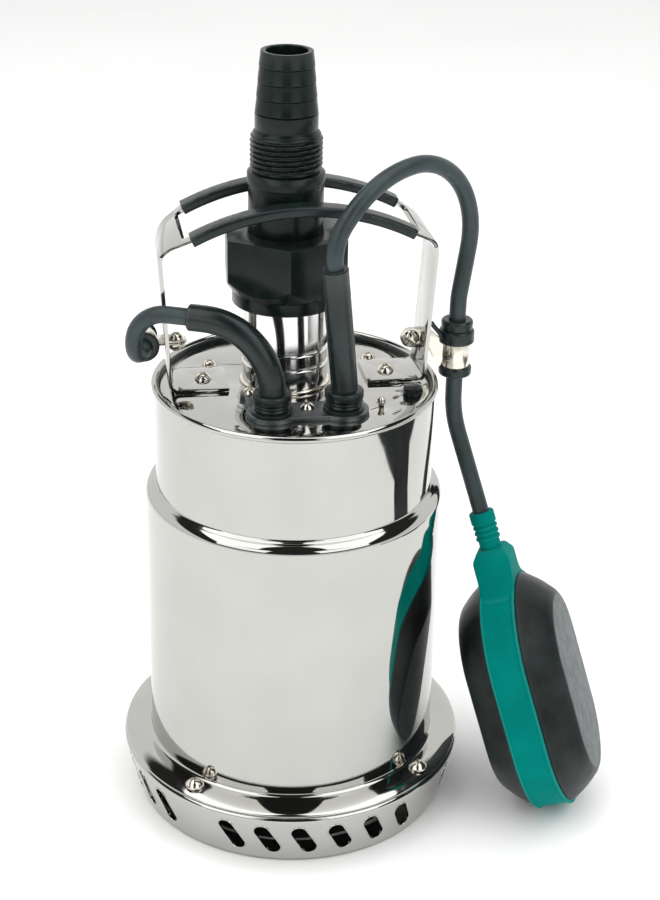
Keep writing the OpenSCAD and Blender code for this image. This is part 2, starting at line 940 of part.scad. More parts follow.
module right_grommet() {
    color("black")
    translate([right_clamp_x, outlet_y, 0])
    difference() {
        union() {
            translate([0, 0, grommet_low])
            cylinder(h = grommet_top - grommet_low, r = clamp_in);
            translate([0, 0, grommet_low])
            cylinder(h = right_clamp_z - grommet_low, r = grommet_flange_r - 0.5);
            translate([0, 0, right_clamp_z + clamp_h])
            cylinder(h = grommet_top - right_clamp_z - clamp_h, r = grommet_flange_r);
        }
        translate([0, 0, grommet_low - 1])
        cylinder(h = CUT, r = cable_r + RUN);
        translate([-30, -2, right_clamp_z + clamp_h - EPS])
        cube([30 - clamp_in + EPS, 4, 9.5]);
    }
}

module left_clamp() {
    screw_out = left_screw_x - left_clamp_x;
    ear_t = 2 * clamp_t + clamp_gap;
    ear_w = left_ear_y[1] - left_ear_y[0];
    color("silver")
    translate([left_clamp_x, left_clamp_y, left_clamp_z])
    difference() {
        rotate([-90, 0, 0])
        rotate([0, 0, 180])
        clamp_band(clamp_h)
        union() {
            translate([-screw_out, -ear_t / 2, left_ear_y[0] - left_clamp_y])
            cube([screw_out, ear_t, ear_w]);
            translate([-screw_out, 0, clamp_h / 2])
            rotate([90, 0, 0])
            cylinder(h = ear_t, r = ear_w / 2, center = true);
        }
        translate([left_screw_x - left_clamp_x, clamp_h / 2, 0])
        cylinder(h = CUT_SHORT, r = 2, center = true);
    }
}

module left_grommet() {
    color("black")
    translate([left_clamp_x, left_clamp_y, left_clamp_z])
    rotate([-90, 0, 0])
    difference() {
        union() {
            translate([0, 0, -2])
            cylinder(h = clamp_h + 4, r = clamp_in);
            for (z = [-2, clamp_h])
            translate([0, 0, z])
            cylinder(h = 2, r = clamp_in + 1.4);
        }
        translate([0, 0, -5])
        cylinder(h = CUT, r = cable_r + RUN);
    }
}

module clamp_screws() {
    half = clamp_t + clamp_gap / 2;
    color("silver") {
        translate([right_screw[0], outlet_y - half, right_screw[1]])
        rotate([90, 0, 0])
        pan_screw(clamp_head_r, 2.8, 2, 6);
        translate([right_screw[0], outlet_y + half, right_screw[1]])
        rotate([-90, 0, 0])
        cylinder(h = 3, r = 4, $fn = 6);
        translate([left_screw_x, left_clamp_y + clamp_h / 2, left_clamp_z + half])
        pan_screw(clamp_head_r, 2.8, 2, 6);
        translate([left_screw_x, left_clamp_y + clamp_h / 2, left_clamp_z - half - 3])
        cylinder(h = 3, r = 4, $fn = 6);
    }
}

module bleed_pin() {
    p = bleed_place();
    color("silver")
    translate([p[0], p[1], lid_under - 2]) {
        cylinder(h = lid_t + 5, r = p[2]);
        translate([0, 0, lid_t + 5])
        sphere(1.9);
    }
}

module lid_plug() {
    p = plug_place();
    color("black")
    translate([p[0], p[1], lid_under - 4])
    difference() {
        union() {
            cylinder(h = lid_t + 4, r = p[2]);
            translate([0, 0, lid_t + 4])
            cylinder(h = 3, r = 4.4);
        }
        translate([-5, -0.6, lid_t + 5.6])
        cube([10, 1.2, 3]);
    }
}

// ---------- motor ----------

module motor_can() {
    color("lightgray")
    ring(can_low, can_top - can_low, can_r, can_in);
}

module motor_top_cover() {
    rim = lid_under - cover_top;
    color("lightgray")
    difference() {
        union() {
            translate([0, 0, can_top])
            cylinder(h = cover_top - can_top, r = can_r);
            ring(can_top - 6, 6, can_in, can_in - 2.5);
            translate([turret_x, gland_y, cover_top])
            linear_extrude(rim)
            soft_rect(turret_w, turret_d, 4);
            for (p = lid_hole_places())
            translate([p[0], p[1], cover_top])
            cylinder(h = rim, r = pillar_r);
        }
        translate([turret_x, gland_y, can_top - 1])
        linear_extrude(40)
        soft_rect(turret_w - 5, turret_d - 5, 2);
        for (p = lid_hole_places())
        translate([p[0], p[1], cover_top + 5])
        cylinder(h = 40, r = 2);
    }
}

module upper_bearing_bracket() {
    low = upper_bearing_z - 1;
    color("silver")
    difference() {
        union() {
            translate([0, 0, upper_bracket_z])
            cylinder(h = upper_bracket_top - upper_bracket_z, r = can_in);
            translate([0, 0, low])
            cylinder(h = upper_bracket_top - low, r = bearing_out_r + 4);
        }
        translate([0, 0, low - 1])
        cylinder(h = bearing_h + 2, r = bearing_out_r);
    }
}

module lower_bearing_bracket() {
    color("silver")
    difference() {
        union() {
            translate([0, 0, bracket_low])
            cylinder(h = bracket_disc, r = can_in);
            translate([0, 0, housing_top])
            cylinder(h = lower_bearing_z + bearing_h - housing_top, r = bearing_out_r + 4);
        }
        translate([0, 0, lower_bearing_z])
        cylinder(h = bearing_h + 1, r = bearing_out_r);
        translate([0, 0, housing_top - 1])
        cylinder(h = 20, r = 12);
    }
}

module seal_housing() {
    color("darkgray")
    difference() {
        union() {
            translate([0, 0, diffuser_top])
            cylinder(h = can_low - diffuser_top, r = can_r);
            ring(can_low, bracket_low - can_low, can_in, can_in - 3);
            ring(can_low, housing_top - can_low, 20, 16);
        }
        translate([0, 0, diffuser_top - 1])
        cylinder(h = 10, r = 12);
    }
}

module stator_core() {
    in_r = rotor_r + air_gap;
    color("slategray")
    difference() {
        ring(stack_z, stack_len, can_in, in_r);
        for (i = [0 : stator_slots - 1])
        rotate([0, 0, i * 360 / stator_slots])
        translate([in_r - 1, -1.6, stack_z - 1])
        cube([13, 3.2, stack_len + 2]);
    }
}

module winding(z) {
    mid = (winding_in + winding_out) / 2;
    half = (winding_out - winding_in) / 2;
    color("chocolate")
    translate([0, 0, z])
    rotate_extrude()
    translate([mid, winding_h / 2])
    soft_rect(2 * half, winding_h, 4);
}

module upper_winding() {
    winding(stack_z + stack_len);
}

module lower_winding() {
    winding(stack_z - winding_h);
}

module capacitor() {
    color("whitesmoke")
    translate([22, 14, upper_bracket_top]) {
        cylinder(h = 22, r = 15);
        for (y = [-5, 5])
        translate([-3, y, 22])
        cube([6, 0.8, 3]);
    }
}

module bearing_outer(z) {
    color("lightsteelblue")
    translate([0, 0, z])
    rotate_extrude()
    difference() {
        translate([race_out_in, 0])
        square([bearing_out_r - race_out_in, bearing_h]);
        translate([ball_pitch, bearing_h / 2])
        circle(groove_r);
    }
}

module bearing_inner(z) {
    color("lightsteelblue")
    translate([0, 0, z])
    rotate_extrude()
    difference() {
        translate([shaft_r, 0])
        square([race_in_out - shaft_r, bearing_h]);
        translate([ball_pitch, bearing_h / 2])
        circle(groove_r);
    }
}

module upper_bearing_outer() {
    bearing_outer(upper_bearing_z);
}

module lower_bearing_outer() {
    bearing_outer(lower_bearing_z);
}

module upper_bearing_inner() {
    bearing_inner(upper_bearing_z);
}

module lower_bearing_inner() {
    bearing_inner(lower_bearing_z);
}

module bearing_balls() {
    color("white")
    for (z = [lower_bearing_z, upper_bearing_z], i = [0 : balls - 1])
    rotate([0, 0, i * 360 / balls])
    translate([ball_pitch, 0, z + bearing_h / 2])
    sphere(ball_r, $fn = 32);
}

module lip_seal() {
    color("black")
    ring(housing_top + 1, lower_bearing_z - housing_top - 2, 12, shaft_r + RUN);
}

module seal_seat() {
    color("ivory")
    ring(seal_face, 5, 12, shaft_r + 1.5);
}

module suction_plate() {
    color("silver")
    ring(base_h, plate_top - base_h, drum_in, inlet_r);
}

module diffuser() {
    color("darkslategray")
    difference() {
        union() {
            ring(plate_top, diffuser_top - plate_top, diffuser_r, diffuser_r - 4);
            ring(diffuser_top - 2, 2, diffuser_r, 24);
        }
        for (i = [0 : 5])
        rotate([0, 0, i * 60])
        translate([diffuser_r - 10, 0, plate_top + 3])
        cube([20, 16, 6]);
    }
}

module shaft() {
    color("silver") {
        translate([0, 0, seal_face - 2])
        cylinder(h = upper_bearing_z + bearing_h - 1 - seal_face + 2, r = shaft_r);
        translate([0, 0, lower_bearing_z + bearing_h])
        cylinder(h = shoulder_len, r = shaft_r + 1.5);
        translate([0, 0, nut_low - 1])
        cylinder(h = seal_face - 1 - nut_low, r = stub_r);
    }
}

module rotor_core() {
    color("slategray")
    difference() {
        union() {
            translate([0, 0, stack_z])
            cylinder(h = stack_len, r = rotor_r);
            translate([0, 0, stack_z - 4])
            cylinder(h = stack_len + 8, r = rotor_r - 3);
        }
        translate([0, 0, stack_z - 5])
        cylinder(h = stack_len + 10, r = shaft_r + 1.5);
    }
}

module seal_ring() {
    color("black")
    ring(hub_top, seal_face - hub_top - 0.03, 10, shaft_r);
}

module impeller() {
    vane_r = impeller_r * 0.55;
    color("goldenrod")
    difference() {
        union() {
            translate([0, 0, impeller_top - 2.5])
            cylinder(h = 2.5, r = impeller_r);
            translate([0, 0, hub_low])
            cylinder(h = hub_top - hub_low, r = 9);
            intersection() {
                translate([0, 0, impeller_low])
                cylinder(h = impeller_top - 2 - impeller_low, r = impeller_r);
                for (i = [0 : vanes - 1])
                rotate([0, 0, i * 360 / vanes])
                translate([vane_r, 0, impeller_low])
                difference() {
                    cylinder(h = impeller_top - 2 - impeller_low, r = vane_r);
                    translate([0, 0, -1])
                    cylinder(h = 20, r = vane_r - 2.2);
                    translate([-60, -60, -1])
                    cube([120, 60, 20]);
                }
            }
        }
        translate([0, 0, hub_low - 10])
        cylinder(h = 40, r = stub_r);
        translate([0, 0, hub_low - 10])
        cylinder(h = 10, r = 8.6);
    }
}

module impeller_nut() {
    color("gold")
    translate([0, 0, nut_low])
    difference() {
        cylinder(h = hub_low - nut_low, r = 7.5, $fn = 6);
        translate([0, 0, -1])
        cylinder(h = 10, r = stub_r);
    }
}

// ---------- hanging cable and float ----------

module float_cable_lower() {
    color("dimgray")
    translate([right_clamp_x, outlet_y, hang_z])
    rotate([0, 180, hang_azimuth])
    tube([
        [hang_start, hang_bend_r, hang_lean, 180],
        [hang_run, 0, 0, 0]], cable_r, true, true);
}

module at_float() {
    translate(float_pivot)
    rotate(float_turn)
    children();
}

// the float's outline in its own YZ plane, shrunk by inset
module float_outline(inset) {
    r = float_w / 2 - inset;
    for (z = [ring_mid, ring_mid - ring_run])
    translate([0, z])
    circle(r);
    translate([-r, ring_mid - ring_run])
    square([2 * r, ring_run]);
}

module float_slab(x, t, inset) {
    translate([x, 0, 0])
    rotate([90, 0, 90])
    linear_extrude(t)
    float_outline(inset);
}

// the tapered block that joins the float's neck to its ring
module neck_block() {
    low = ring_top - 2;
    high = ring_top + block_len;
    waist = ring_w / 2 - 0.4;
    brow = ring_w / 2 + 0.9;
    intersection() {
        rotate([90, 0, 0])
        linear_extrude(float_w, center = true)
        polygon([
            [-waist, low], [waist, low], [waist, ring_top + 3.5], [brow, ring_top + 6], [brow, high - 6],
            [brow - 3.6, high], [-brow + 3.6, high], [-brow, high - 6], [-brow, ring_top + 6],
            [-waist, ring_top + 3.5]]);
        rotate([90, 0, 90])
        linear_extrude(2 * ring_w, center = true)
        polygon([[-13.5, low], [13.5, low], [8, high - 4], [6.5, high], [-6.5, high], [-8, high - 4]]);
    }
}

module float_ring() {
    color("teal")
    at_float()
    difference() {
        union() {
            float_slab(-ring_w / 2, ring_w, 0);
            neck_block();
            translate([0, 0, ring_top])
            cylinder(h = float_neck_len, r = float_neck_r);
            translate([0, 0, -neck_gap - neck_collar_h])
            cylinder(h = neck_collar_h, r = neck_collar_r);
            for (i = [1 : 3])
            translate([0, 0, -neck_gap - neck_collar_h - i * neck_rib_pitch])
            cylinder(h = neck_rib_pitch / 2, r = neck_rib_r);
        }
        float_slab(-ring_w, 2 * ring_w, 3);
    }
}

module float_shell(side) {
    inner = ring_w / 2;
    color("darkslategray")
    at_float()
    mirror([side < 0 ? 1 : 0, 0, 0])
    difference() {
        hull() {
            float_slab(inner, 1, 1, $fn = 48);
            float_slab(float_t / 2 - 1, 1, face_inset, $fn = 48);
        }
        hull() {
            float_slab(inner - 1, 1, 1 + shell_wall, $fn = 48);
            float_slab(float_t / 2 - 1 - shell_wall, 1, face_inset + shell_wall, $fn = 48);
        }
    }
}

module left_float_shell() {
    float_shell(-1);
}

module right_float_shell() {
    float_shell(1);
}

module float_switch() {
    wall = 1.5;
    block = [12, 28, 16];
    rib = [8, float_w - 8, 4];
    bottom = ball_rest - switch_ball_r - wall;
    top = ball_rest + ball_travel + switch_ball_r + 2;
    color("ivory")
    at_float()
    difference() {
        union() {
            translate([0, 0, bottom])
            cylinder(h = top - bottom, r = tube_r);
            translate([-block[0] / 2, -block[1] / 2, top - 1])
            cube(block);
            translate([-rib[0] / 2, -rib[1] / 2, bottom + 4])
            cube(rib);
        }
        translate([0, 0, bottom + wall - RUN])
        cylinder(h = top - bottom - 2 + RUN, r = switch_ball_r + RUN);
    }
}

module float_ball() {
    color("silver")
    at_float()
    translate([0, 0, ball_rest])
    sphere(switch_ball_r);
}

strainer_base();
outer_casing();
casing_ring_seal();
base_screws();
lid();
lid_seal();
lid_screws();
handle_strap();
front_grip();
rear_grip();
handle_screws();
outlet_neck();
outlet_gasket();
hose_adapter();
union_nut();
gland_plate();
gland_screws();
float_gland();
power_gland();
float_cable_boot();
power_cable_boot();
float_cable_upper();
power_cable();
power_cable_cores();
right_clamp();
right_grommet();
left_clamp();
left_grommet();
clamp_screws();
bleed_pin();
lid_plug();
motor_can();
motor_top_cover();
upper_bearing_bracket();
lower_bearing_bracket();
seal_housing();
stator_core();
upper_winding();
lower_winding();
capacitor();
upper_bearing_outer();
lower_bearing_outer();
lip_seal();
seal_seat();
diffuser();
suction_plate();
shaft();
rotor_core();
upper_bearing_inner();
lower_bearing_inner();
bearing_balls();
seal_ring();
impeller();
impeller_nut();
float_cable_lower();
float_ring();
left_float_shell();
right_float_shell();
float_switch();
float_ball();
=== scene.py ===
import json
import math

import bmesh
import bpy
from mathutils import Euler, Matrix, Vector


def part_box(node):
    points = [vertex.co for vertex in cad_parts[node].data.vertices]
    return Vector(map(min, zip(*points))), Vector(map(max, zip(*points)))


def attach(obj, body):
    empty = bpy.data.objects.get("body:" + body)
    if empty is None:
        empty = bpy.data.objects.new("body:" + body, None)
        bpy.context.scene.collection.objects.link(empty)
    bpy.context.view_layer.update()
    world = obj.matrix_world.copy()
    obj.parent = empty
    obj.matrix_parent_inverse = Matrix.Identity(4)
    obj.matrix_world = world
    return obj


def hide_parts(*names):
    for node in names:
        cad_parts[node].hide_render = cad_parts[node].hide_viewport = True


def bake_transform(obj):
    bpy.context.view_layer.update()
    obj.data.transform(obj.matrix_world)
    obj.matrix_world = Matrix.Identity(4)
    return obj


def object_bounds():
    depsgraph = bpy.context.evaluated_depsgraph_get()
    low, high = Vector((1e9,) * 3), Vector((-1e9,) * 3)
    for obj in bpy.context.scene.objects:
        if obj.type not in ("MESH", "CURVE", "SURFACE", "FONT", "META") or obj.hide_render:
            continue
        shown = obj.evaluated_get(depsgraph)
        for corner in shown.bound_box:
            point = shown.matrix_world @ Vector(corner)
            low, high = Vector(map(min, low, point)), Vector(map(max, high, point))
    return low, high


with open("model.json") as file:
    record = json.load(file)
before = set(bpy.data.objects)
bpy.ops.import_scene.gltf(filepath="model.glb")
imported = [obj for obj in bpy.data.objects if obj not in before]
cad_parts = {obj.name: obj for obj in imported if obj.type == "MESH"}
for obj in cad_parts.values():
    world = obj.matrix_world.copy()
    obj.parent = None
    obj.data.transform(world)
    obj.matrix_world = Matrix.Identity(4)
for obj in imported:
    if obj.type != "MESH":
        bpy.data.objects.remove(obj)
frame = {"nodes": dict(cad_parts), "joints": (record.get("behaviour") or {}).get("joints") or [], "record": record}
CAD_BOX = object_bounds()
NODES = frame["nodes"]
JOINTS = {joint["name"]: joint for joint in frame["joints"]}
MM = 0.001
SEGMENTS = 192


# ---------- measures taken from the frame, in millimetres ----------

def low(node):
    """A node's lowest corner."""
    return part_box(node)[0] / MM


def high(node):
    """A node's highest corner."""
    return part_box(node)[1] / MM


def centre(node):
    return (low(node) + high(node)) / 2


SHEET = 1.2
FOOT_IN_R = 66
CABLE_BORE = 4.2
BOOT_R = 6.2
DRUM_R = high("casing_ring_seal").x + SHEET
UPPER_R = high("lid_seal").x + SHEET
RIM_Z = high("outer_casing").z
FLANGE_R = high("outer_casing").x
BASE_H = high("strainer_base").z
EDGE_R = high("strainer_base").x
FOOT_R = EDGE_R - 6.6
SHOULDER_R = DRUM_R - UPPER_R
SHOULDER_Z = 164.4
LID_TOP = high("lid").z
OUTLET = centre("union_nut").xy
SWING = Vector(JOINTS["cable_swing"]["pos_m"]) / MM
FLOAT = Vector(JOINTS["float_tilt"]["pos_m"]) / MM
FLOAT_UP = Vector(JOINTS["ball_roll"]["axis"])
FLOAT_TURN = (-10, -19.7, -19.5)


# ---------- mesh helpers, with sizes in millimetres ----------

def new_piece(name, verts, faces, look, body, nodes=(), crease=35):
    """A piece from vertices and faces, smooth but for edges sharper than crease degrees."""
    mesh = bpy.data.meshes.new(name)
    mesh.from_pydata([Vector(v) * MM for v in verts], [], faces)
    piece = bpy.data.objects.new(name, mesh)
    bpy.context.scene.collection.objects.link(piece)
    tidy_mesh(mesh, crease)
    return dress(piece, look, body, nodes)


def tidy_mesh(mesh, crease):
    """Join vertices in one place, turn the faces outwards and set smooth shading."""
    work = bmesh.new()
    work.from_mesh(mesh)
    bmesh.ops.remove_doubles(work, verts=work.verts, dist=1e-7)
    bmesh.ops.recalc_face_normals(work, faces=work.faces)
    work.to_mesh(mesh)
    work.free()
    mesh.shade_smooth()
    mesh.set_sharp_from_angle(angle=math.radians(crease))


def dress(piece, look, body, nodes=()):
    """Give a piece its material, the body it rides on and the CAD nodes it stands for."""
    piece.data.materials.clear()
    piece.data.materials.append(look)
    if body:
        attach(piece, body)
    if nodes:
        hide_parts(*nodes)
    return piece


def arc(x, z, r, start, end, steps=12):
    """Points on an arc about (x, z), from angle start to angle end in degrees."""
    angles = [math.radians(start + (end - start) * k / steps) for k in range(steps + 1)]
    return [(x + r * math.cos(a), z + r * math.sin(a)) for a in angles]


def turned(profile, at=(0, 0), segments=SEGMENTS, swell=None):
    """The vertices and faces of a profile of (radius, height) points turned about an upright axis."""
    verts, faces = [], []
    for r, z in profile:
        for k in range(segments):
            a = 2 * math.pi * k / segments
            rr = r + (swell(r, z, a) if swell else 0)
            verts.append((at[0] + rr * math.cos(a), at[1] + rr * math.sin(a), z))
    rows = len(profile)
    for i in range(rows):
        for k in range(segments):
            a, b = i * segments, (i + 1) % rows * segments
            n = (k + 1) % segments
            faces.append((a + k, a + n, b + n, b + k))
    return verts, faces


def route_frames(points):
    """A frame at each point of a route, carried along without twist."""
    points = [Vector(p) for p in points]
    ahead = (points[1] - points[0]).normalized()
    side = ahead.orthogonal().normalized()
    frames = []
    for i, p in enumerate(points):
        before, after = points[max(i - 1, 0)], points[min(i + 1, len(points) - 1)]
        heading = (after - before).normalized()
        side = (side - heading * side.dot(heading)).normalized()
        frames.append((p, side, heading.cross(side)))
    return frames


def swept(points, radius, sides=32):
    """The vertices and faces of a round section carried along a route, radius being one number or a list."""
    verts, faces = [], []
    for i, (p, u, v) in enumerate(route_frames(points)):
        r = radius[i] if isinstance(radius, list) else radius
        for k in range(sides):
            a = 2 * math.pi * k / sides
            verts.append(p + u * (r * math.cos(a)) + v * (r * math.sin(a)))
    for i in range(len(points) - 1):
        for k in range(sides):
            n = (k + 1) % sides
            faces.append((i * sides + k, i * sides + n, (i + 1) * sides + n, (i + 1) * sides + k))
    last = (len(points) - 1) * sides
    faces.append(tuple(range(sides))[::-1])
    faces.append(tuple(last + k for k in range(sides)))
    return verts, faces


def merged(*parts):
    """Several parts, each vertices and faces, as one."""
    verts, faces = [], []
    for part_verts, part_faces in parts:
        start = len(verts)
        verts += part_verts
        faces += [tuple(start + i for i in face) for face in part_faces]
    return verts, faces


def moved(part, matrix):
    """A part's vertices and faces after a move."""
    return [matrix @ Vector(v) for v in part[0]], part[1]


def loop_lofted(rings, closed=False):
    """The vertices and faces between rings of equally many points, capped at both ends unless closed."""
    verts = [v for ring in rings for v in ring]
    count, n = len(rings), len(rings[0])
    faces = []
    for i in range(count if closed else count - 1):
        for k in range(n):
            a, b, m = i * n, (i + 1) % count * n, (k + 1) % n
            faces.append((a + k, a + m, b + m, b + k))
    if not closed:
        faces.append(tuple(range(n))[::-1])
        faces.append(tuple((count - 1) * n + k for k in range(n)))
    return verts, faces


def cad_copy(name, node, look, body):
    """A smooth piece made from a CAD node's own mesh: its triangles joined to quads, then subdivided."""
    mesh = NODES[node].data.copy()
    mesh.name = name
    if "custom_normal" in mesh.attributes:
        mesh.attributes.remove(mesh.attributes["custom_normal"])
    piece = bpy.data.objects.new(name, mesh)
    bpy.context.scene.collection.objects.link(piece)
    work = bmesh.new()
    work.from_mesh(mesh)
    bmesh.ops.remove_doubles(work, verts=work.verts, dist=1e-6)
    bmesh.ops.join_triangles(
        work, faces=work.faces, angle_face_threshold=math.radians(12), angle_shape_threshold=math.radians(60))
    work.to_mesh(mesh)
    work.free()
    mesh.shade_smooth()
    smooth = piece.modifiers.new("smooth", "SUBSURF")
    smooth.levels = smooth.render_levels = 1
    return dress(piece, look, body, [node])


def polish_node(node, look, bevel, crease=32):
    """A CAD node that stays: welded, its edges rounded, and given its material."""
    piece = NODES[node]
    weld = piece.modifiers.new("weld", "WELD")
    weld.merge_threshold = 2e-6
    if bevel:
        edge = piece.modifiers.new("edges", "BEVEL")
        edge.width = bevel * MM
        edge.segments = 2
        edge.limit_method = "ANGLE"
        edge.angle_limit = math.radians(crease)
    piece.data.shade_smooth()
    piece.data.materials.clear()
    piece.data.materials.append(look)


# ---------- materials ----------

class Nodes:
    """Adds shader nodes to one material, new or not, and joins them up."""

    def __init__(self, material):
        self.material = material
        self.material.use_nodes = True
        self.tree = self.material.node_tree
        self.shader = self.tree.nodes["Principled BSDF"]
        self.coords = self.tree.nodes.new("ShaderNodeTexCoord").outputs["Object"]

    def add(self, kind, inputs=None, **settings):
        node = self.tree.nodes.new(kind)
        for key, value in settings.items():
            setattr(node, key, value)
        for key, value in (inputs or {}).items():
            self.set(node.inputs[key], value)
        return node

    def set(self, socket, value):
        if isinstance(value, bpy.types.NodeSocket):
            self.tree.links.new(value, socket)
        else:
            socket.default_value = value

    def noise(self, scale, detail=3.0, stretch=(1, 1, 1), distortion=0.0):
        mapping = self.add("ShaderNodeMapping", {"Vector": self.coords, "Scale": stretch})
        inputs = {"Vector": mapping.outputs[0], "Scale": scale, "Detail": detail, "Distortion": distortion}
        return self.add("ShaderNodeTexNoise", inputs).outputs["Fac"]

    def remap(self, value, start, end, low_in=0.3, high_in=0.7):
        inputs = {"Value": value, "From Min": low_in, "From Max": high_in, "To Min": start, "To Max": end}
        return self.add("ShaderNodeMapRange", inputs).outputs[0]

    def blend(self, factor, a, b):
        node = self.add("ShaderNodeMix", data_type="RGBA")
        self.set(node.inputs[0], factor)
        self.set(node.inputs[6], a)
        self.set(node.inputs[7], b)
        return node.outputs[2]

    def bump(self, height, depth_mm, under=None):
        inputs = {"Height": height, "Distance": depth_mm * MM, "Strength": 1.0}
        if under is not None:
            inputs["Normal"] = under
        return self.add("ShaderNodeBump", inputs).outputs[0]


def new_look(name):
    return Nodes(bpy.data.materials.new(name))


def shade(colour, factor):
    """A colour made lighter or darker by a factor."""
    return tuple(min(1.0, c * factor) for c in colour) + (1.0,)


def finish(name, colour, metallic, rough, tint=0.1, tint_scale=60, rough_vary=0.06, grain=0.02,
           grain_scale=1500, stretch=(1, 1, 1), wave=0.0, edge=0.0, specular=0.5):
    """One surface finish: uneven colour, uneven roughness, a fine grain, a slow wave and lighter worn edges."""
    n = new_look(name)
    clouds = n.noise(tint_scale, 4.0, stretch)
    base = n.blend(n.remap(clouds, 0.0, 1.0), shade(colour, 1 - tint), shade(colour, 1 + tint))
    if edge:
        point = n.add("ShaderNodeNewGeometry").outputs["Pointiness"]
        base = n.blend(n.remap(point, 0.0, edge, 0.52, 0.62), base, shade([c + 0.05 for c in colour], 2.2))
    n.set(n.shader.inputs["Base Color"], base)
    n.set(n.shader.inputs["Metallic"], metallic)
    n.set(n.shader.inputs["Specular IOR Level"], specular)
    smudge = n.noise(tint_scale * 2.3, 5.0, stretch, 0.4)
    n.set(n.shader.inputs["Roughness"], n.remap(smudge, max(0.02, rough - rough_vary), rough + rough_vary))
    normal = n.bump(n.noise(grain_scale, 2.0, stretch), grain)
    if wave:
        normal = n.bump(n.noise(18, 1.0), wave, normal)
    n.set(n.shader.inputs["Normal"], normal)
    n.material["record_slot"] = name
    return n.material


def core_finish():
    """Three core colours, one per core."""
    n = Nodes(finish("core_insulation", (0.3, 0.2, 0.1), 0.0, 0.35, grain=0.01))
    island = n.add("ShaderNodeNewGeometry").outputs["Random Per Island"]
    ramp = n.add("ShaderNodeValToRGB", {0: island})
    ramp.color_ramp.interpolation = "CONSTANT"
    brown, blue, green = (0.16, 0.05, 0.02, 1), (0.02, 0.08, 0.35, 1), (0.35, 0.42, 0.03, 1)
    first, second = ramp.color_ramp.elements
    first.color = brown
    second.position, second.color = 0.34, blue
    ramp.color_ramp.elements.new(0.67).color = green
    n.set(n.shader.inputs["Base Color"], ramp.outputs[0])
    return n.material


def paint_face_sheen(material):
    """Paint the float's broad faces a paler grey, in soft patches: a painted sheen standing in for the bright
    surroundings they reflect.
    """
    n = Nodes(material)
    painted_sheen = n.add("ShaderNodeAttribute", attribute_name="face_painted_sheen").outputs["Fac"]
    cloud = n.add("ShaderNodeTexNoise", {"Scale": 42, "Detail": 6, "Roughness": 0.65}).outputs["Fac"]
    patches = n.remap(cloud, 0.45, 1.1, 0.36, 0.64)
    amount = n.add("ShaderNodeMath", {0: painted_sheen, 1: patches}, operation="MULTIPLY", use_clamp=True).outputs[0]
    base = n.shader.inputs["Base Color"]
    # the paler grey is a painted reflection of the bright surroundings, not the plastic's own colour
    n.set(base, n.blend(amount, base.links[0].from_socket, (0.080, 0.102, 0.114, 1)))


STEEL = (0.49, 0.488, 0.468)
LOOKS = {
    "polished_steel": finish(
        "polished_steel", STEEL, 1.0, 0.055, tint=0.03, tint_scale=35, rough_vary=0.02, grain=0.0003,
        grain_scale=900, wave=0.03),
    "bright_fasteners": finish(
        "bright_fasteners", (0.76, 0.72, 0.64), 1.0, 0.16, tint=0.12, tint_scale=300, grain=0.008),
    "bright_chrome": finish(
        "bright_chrome", (0.74, 0.74, 0.73), 1.0, 0.11, tint=0.03, rough_vary=0.02, grain=0.0006),
    "dull_steel": finish("dull_steel", (0.16, 0.18, 0.18), 1.0, 0.42, tint=0.2, tint_scale=120, grain=0.01),
    "black_plastic": finish(
        "black_plastic", (0.005, 0.011, 0.009), 0.0, 0.25, tint=0.3, grain=0.012, grain_scale=1100, edge=0.35,
        specular=0.22),
    "grip_plastic": finish(
        "grip_plastic", (0.010, 0.020, 0.019), 0.0, 0.30, tint=0.25, grain=0.02, grain_scale=900, edge=0.3,
        specular=0.35),
    "black_rubber": finish(
        "black_rubber", (0.008, 0.017, 0.016), 0.0, 0.29, tint=0.3, grain=0.03, grain_scale=700, edge=0.3,
        specular=0.42),
    "nitrile_rubber": finish(
        "nitrile_rubber", (0.015, 0.016, 0.016), 0.0, 0.5, tint=0.3, grain=0.03, grain_scale=800),
    "cable_jacket": finish(
        "cable_jacket", (0.022, 0.040, 0.043), 0.0, 0.40, tint=0.3, tint_scale=90, grain=0.03, grain_scale=900),
    "core_insulation": core_finish(),
    "cast_alloy": finish("cast_alloy", (0.50, 0.50, 0.50), 1.0, 0.45, tint=0.15, grain=0.06, grain_scale=500),
    "lamination_steel": finish(
        "lamination_steel", (0.24, 0.25, 0.28), 1.0, 0.42, tint=0.2, grain=0.05, grain_scale=300,
        stretch=(1, 1, 8)),
    "winding_copper": finish(
        "winding_copper", (0.48, 0.20, 0.08), 1.0, 0.35, tint=0.3, grain=0.12, grain_scale=260,
        stretch=(1, 1, 4)),
    "white_plastic": finish("white_plastic", (0.70, 0.69, 0.64), 0.0, 0.4, tint=0.06, grain=0.01),
    "bearing_steel": finish("bearing_steel", (0.55, 0.56, 0.58), 1.0, 0.12, tint=0.06, grain=0.002),
    "white_ceramic": finish("white_ceramic", (0.80, 0.78, 0.73), 0.0, 0.15, tint=0.05, grain=0.002),
    "carbon_face": finish("carbon_face", (0.03, 0.03, 0.034), 0.0, 0.3, tint=0.2, grain=0.005),
    "impeller_plastic": finish(
        "impeller_plastic", (0.42, 0.28, 0.10), 0.0, 0.4, tint=0.2, grain=0.03, grain_scale=700),
    "nut_brass": finish("nut_brass", (0.66, 0.50, 0.20), 1.0, 0.25, tint=0.12, grain=0.006),
    "teal_plastic": finish(
        "teal_plastic", (0.0, 0.235, 0.205), 0.0, 0.5, tint=0.12, tint_scale=45, grain=0.015, grain_scale=900,
        edge=0.25, specular=0.02),
    "float_plastic": finish(
        "float_plastic", (0.009, 0.014, 0.013), 0.0, 0.40, tint=0.9, tint_scale=60, grain=0.06, grain_scale=520,
        edge=0.2, specular=0.24),
}

# paint a lighter sheen onto the float's broad faces, standing in for reflected light
paint_face_sheen(LOOKS["float_plastic"])


# ---------- casing, base and lid ----------

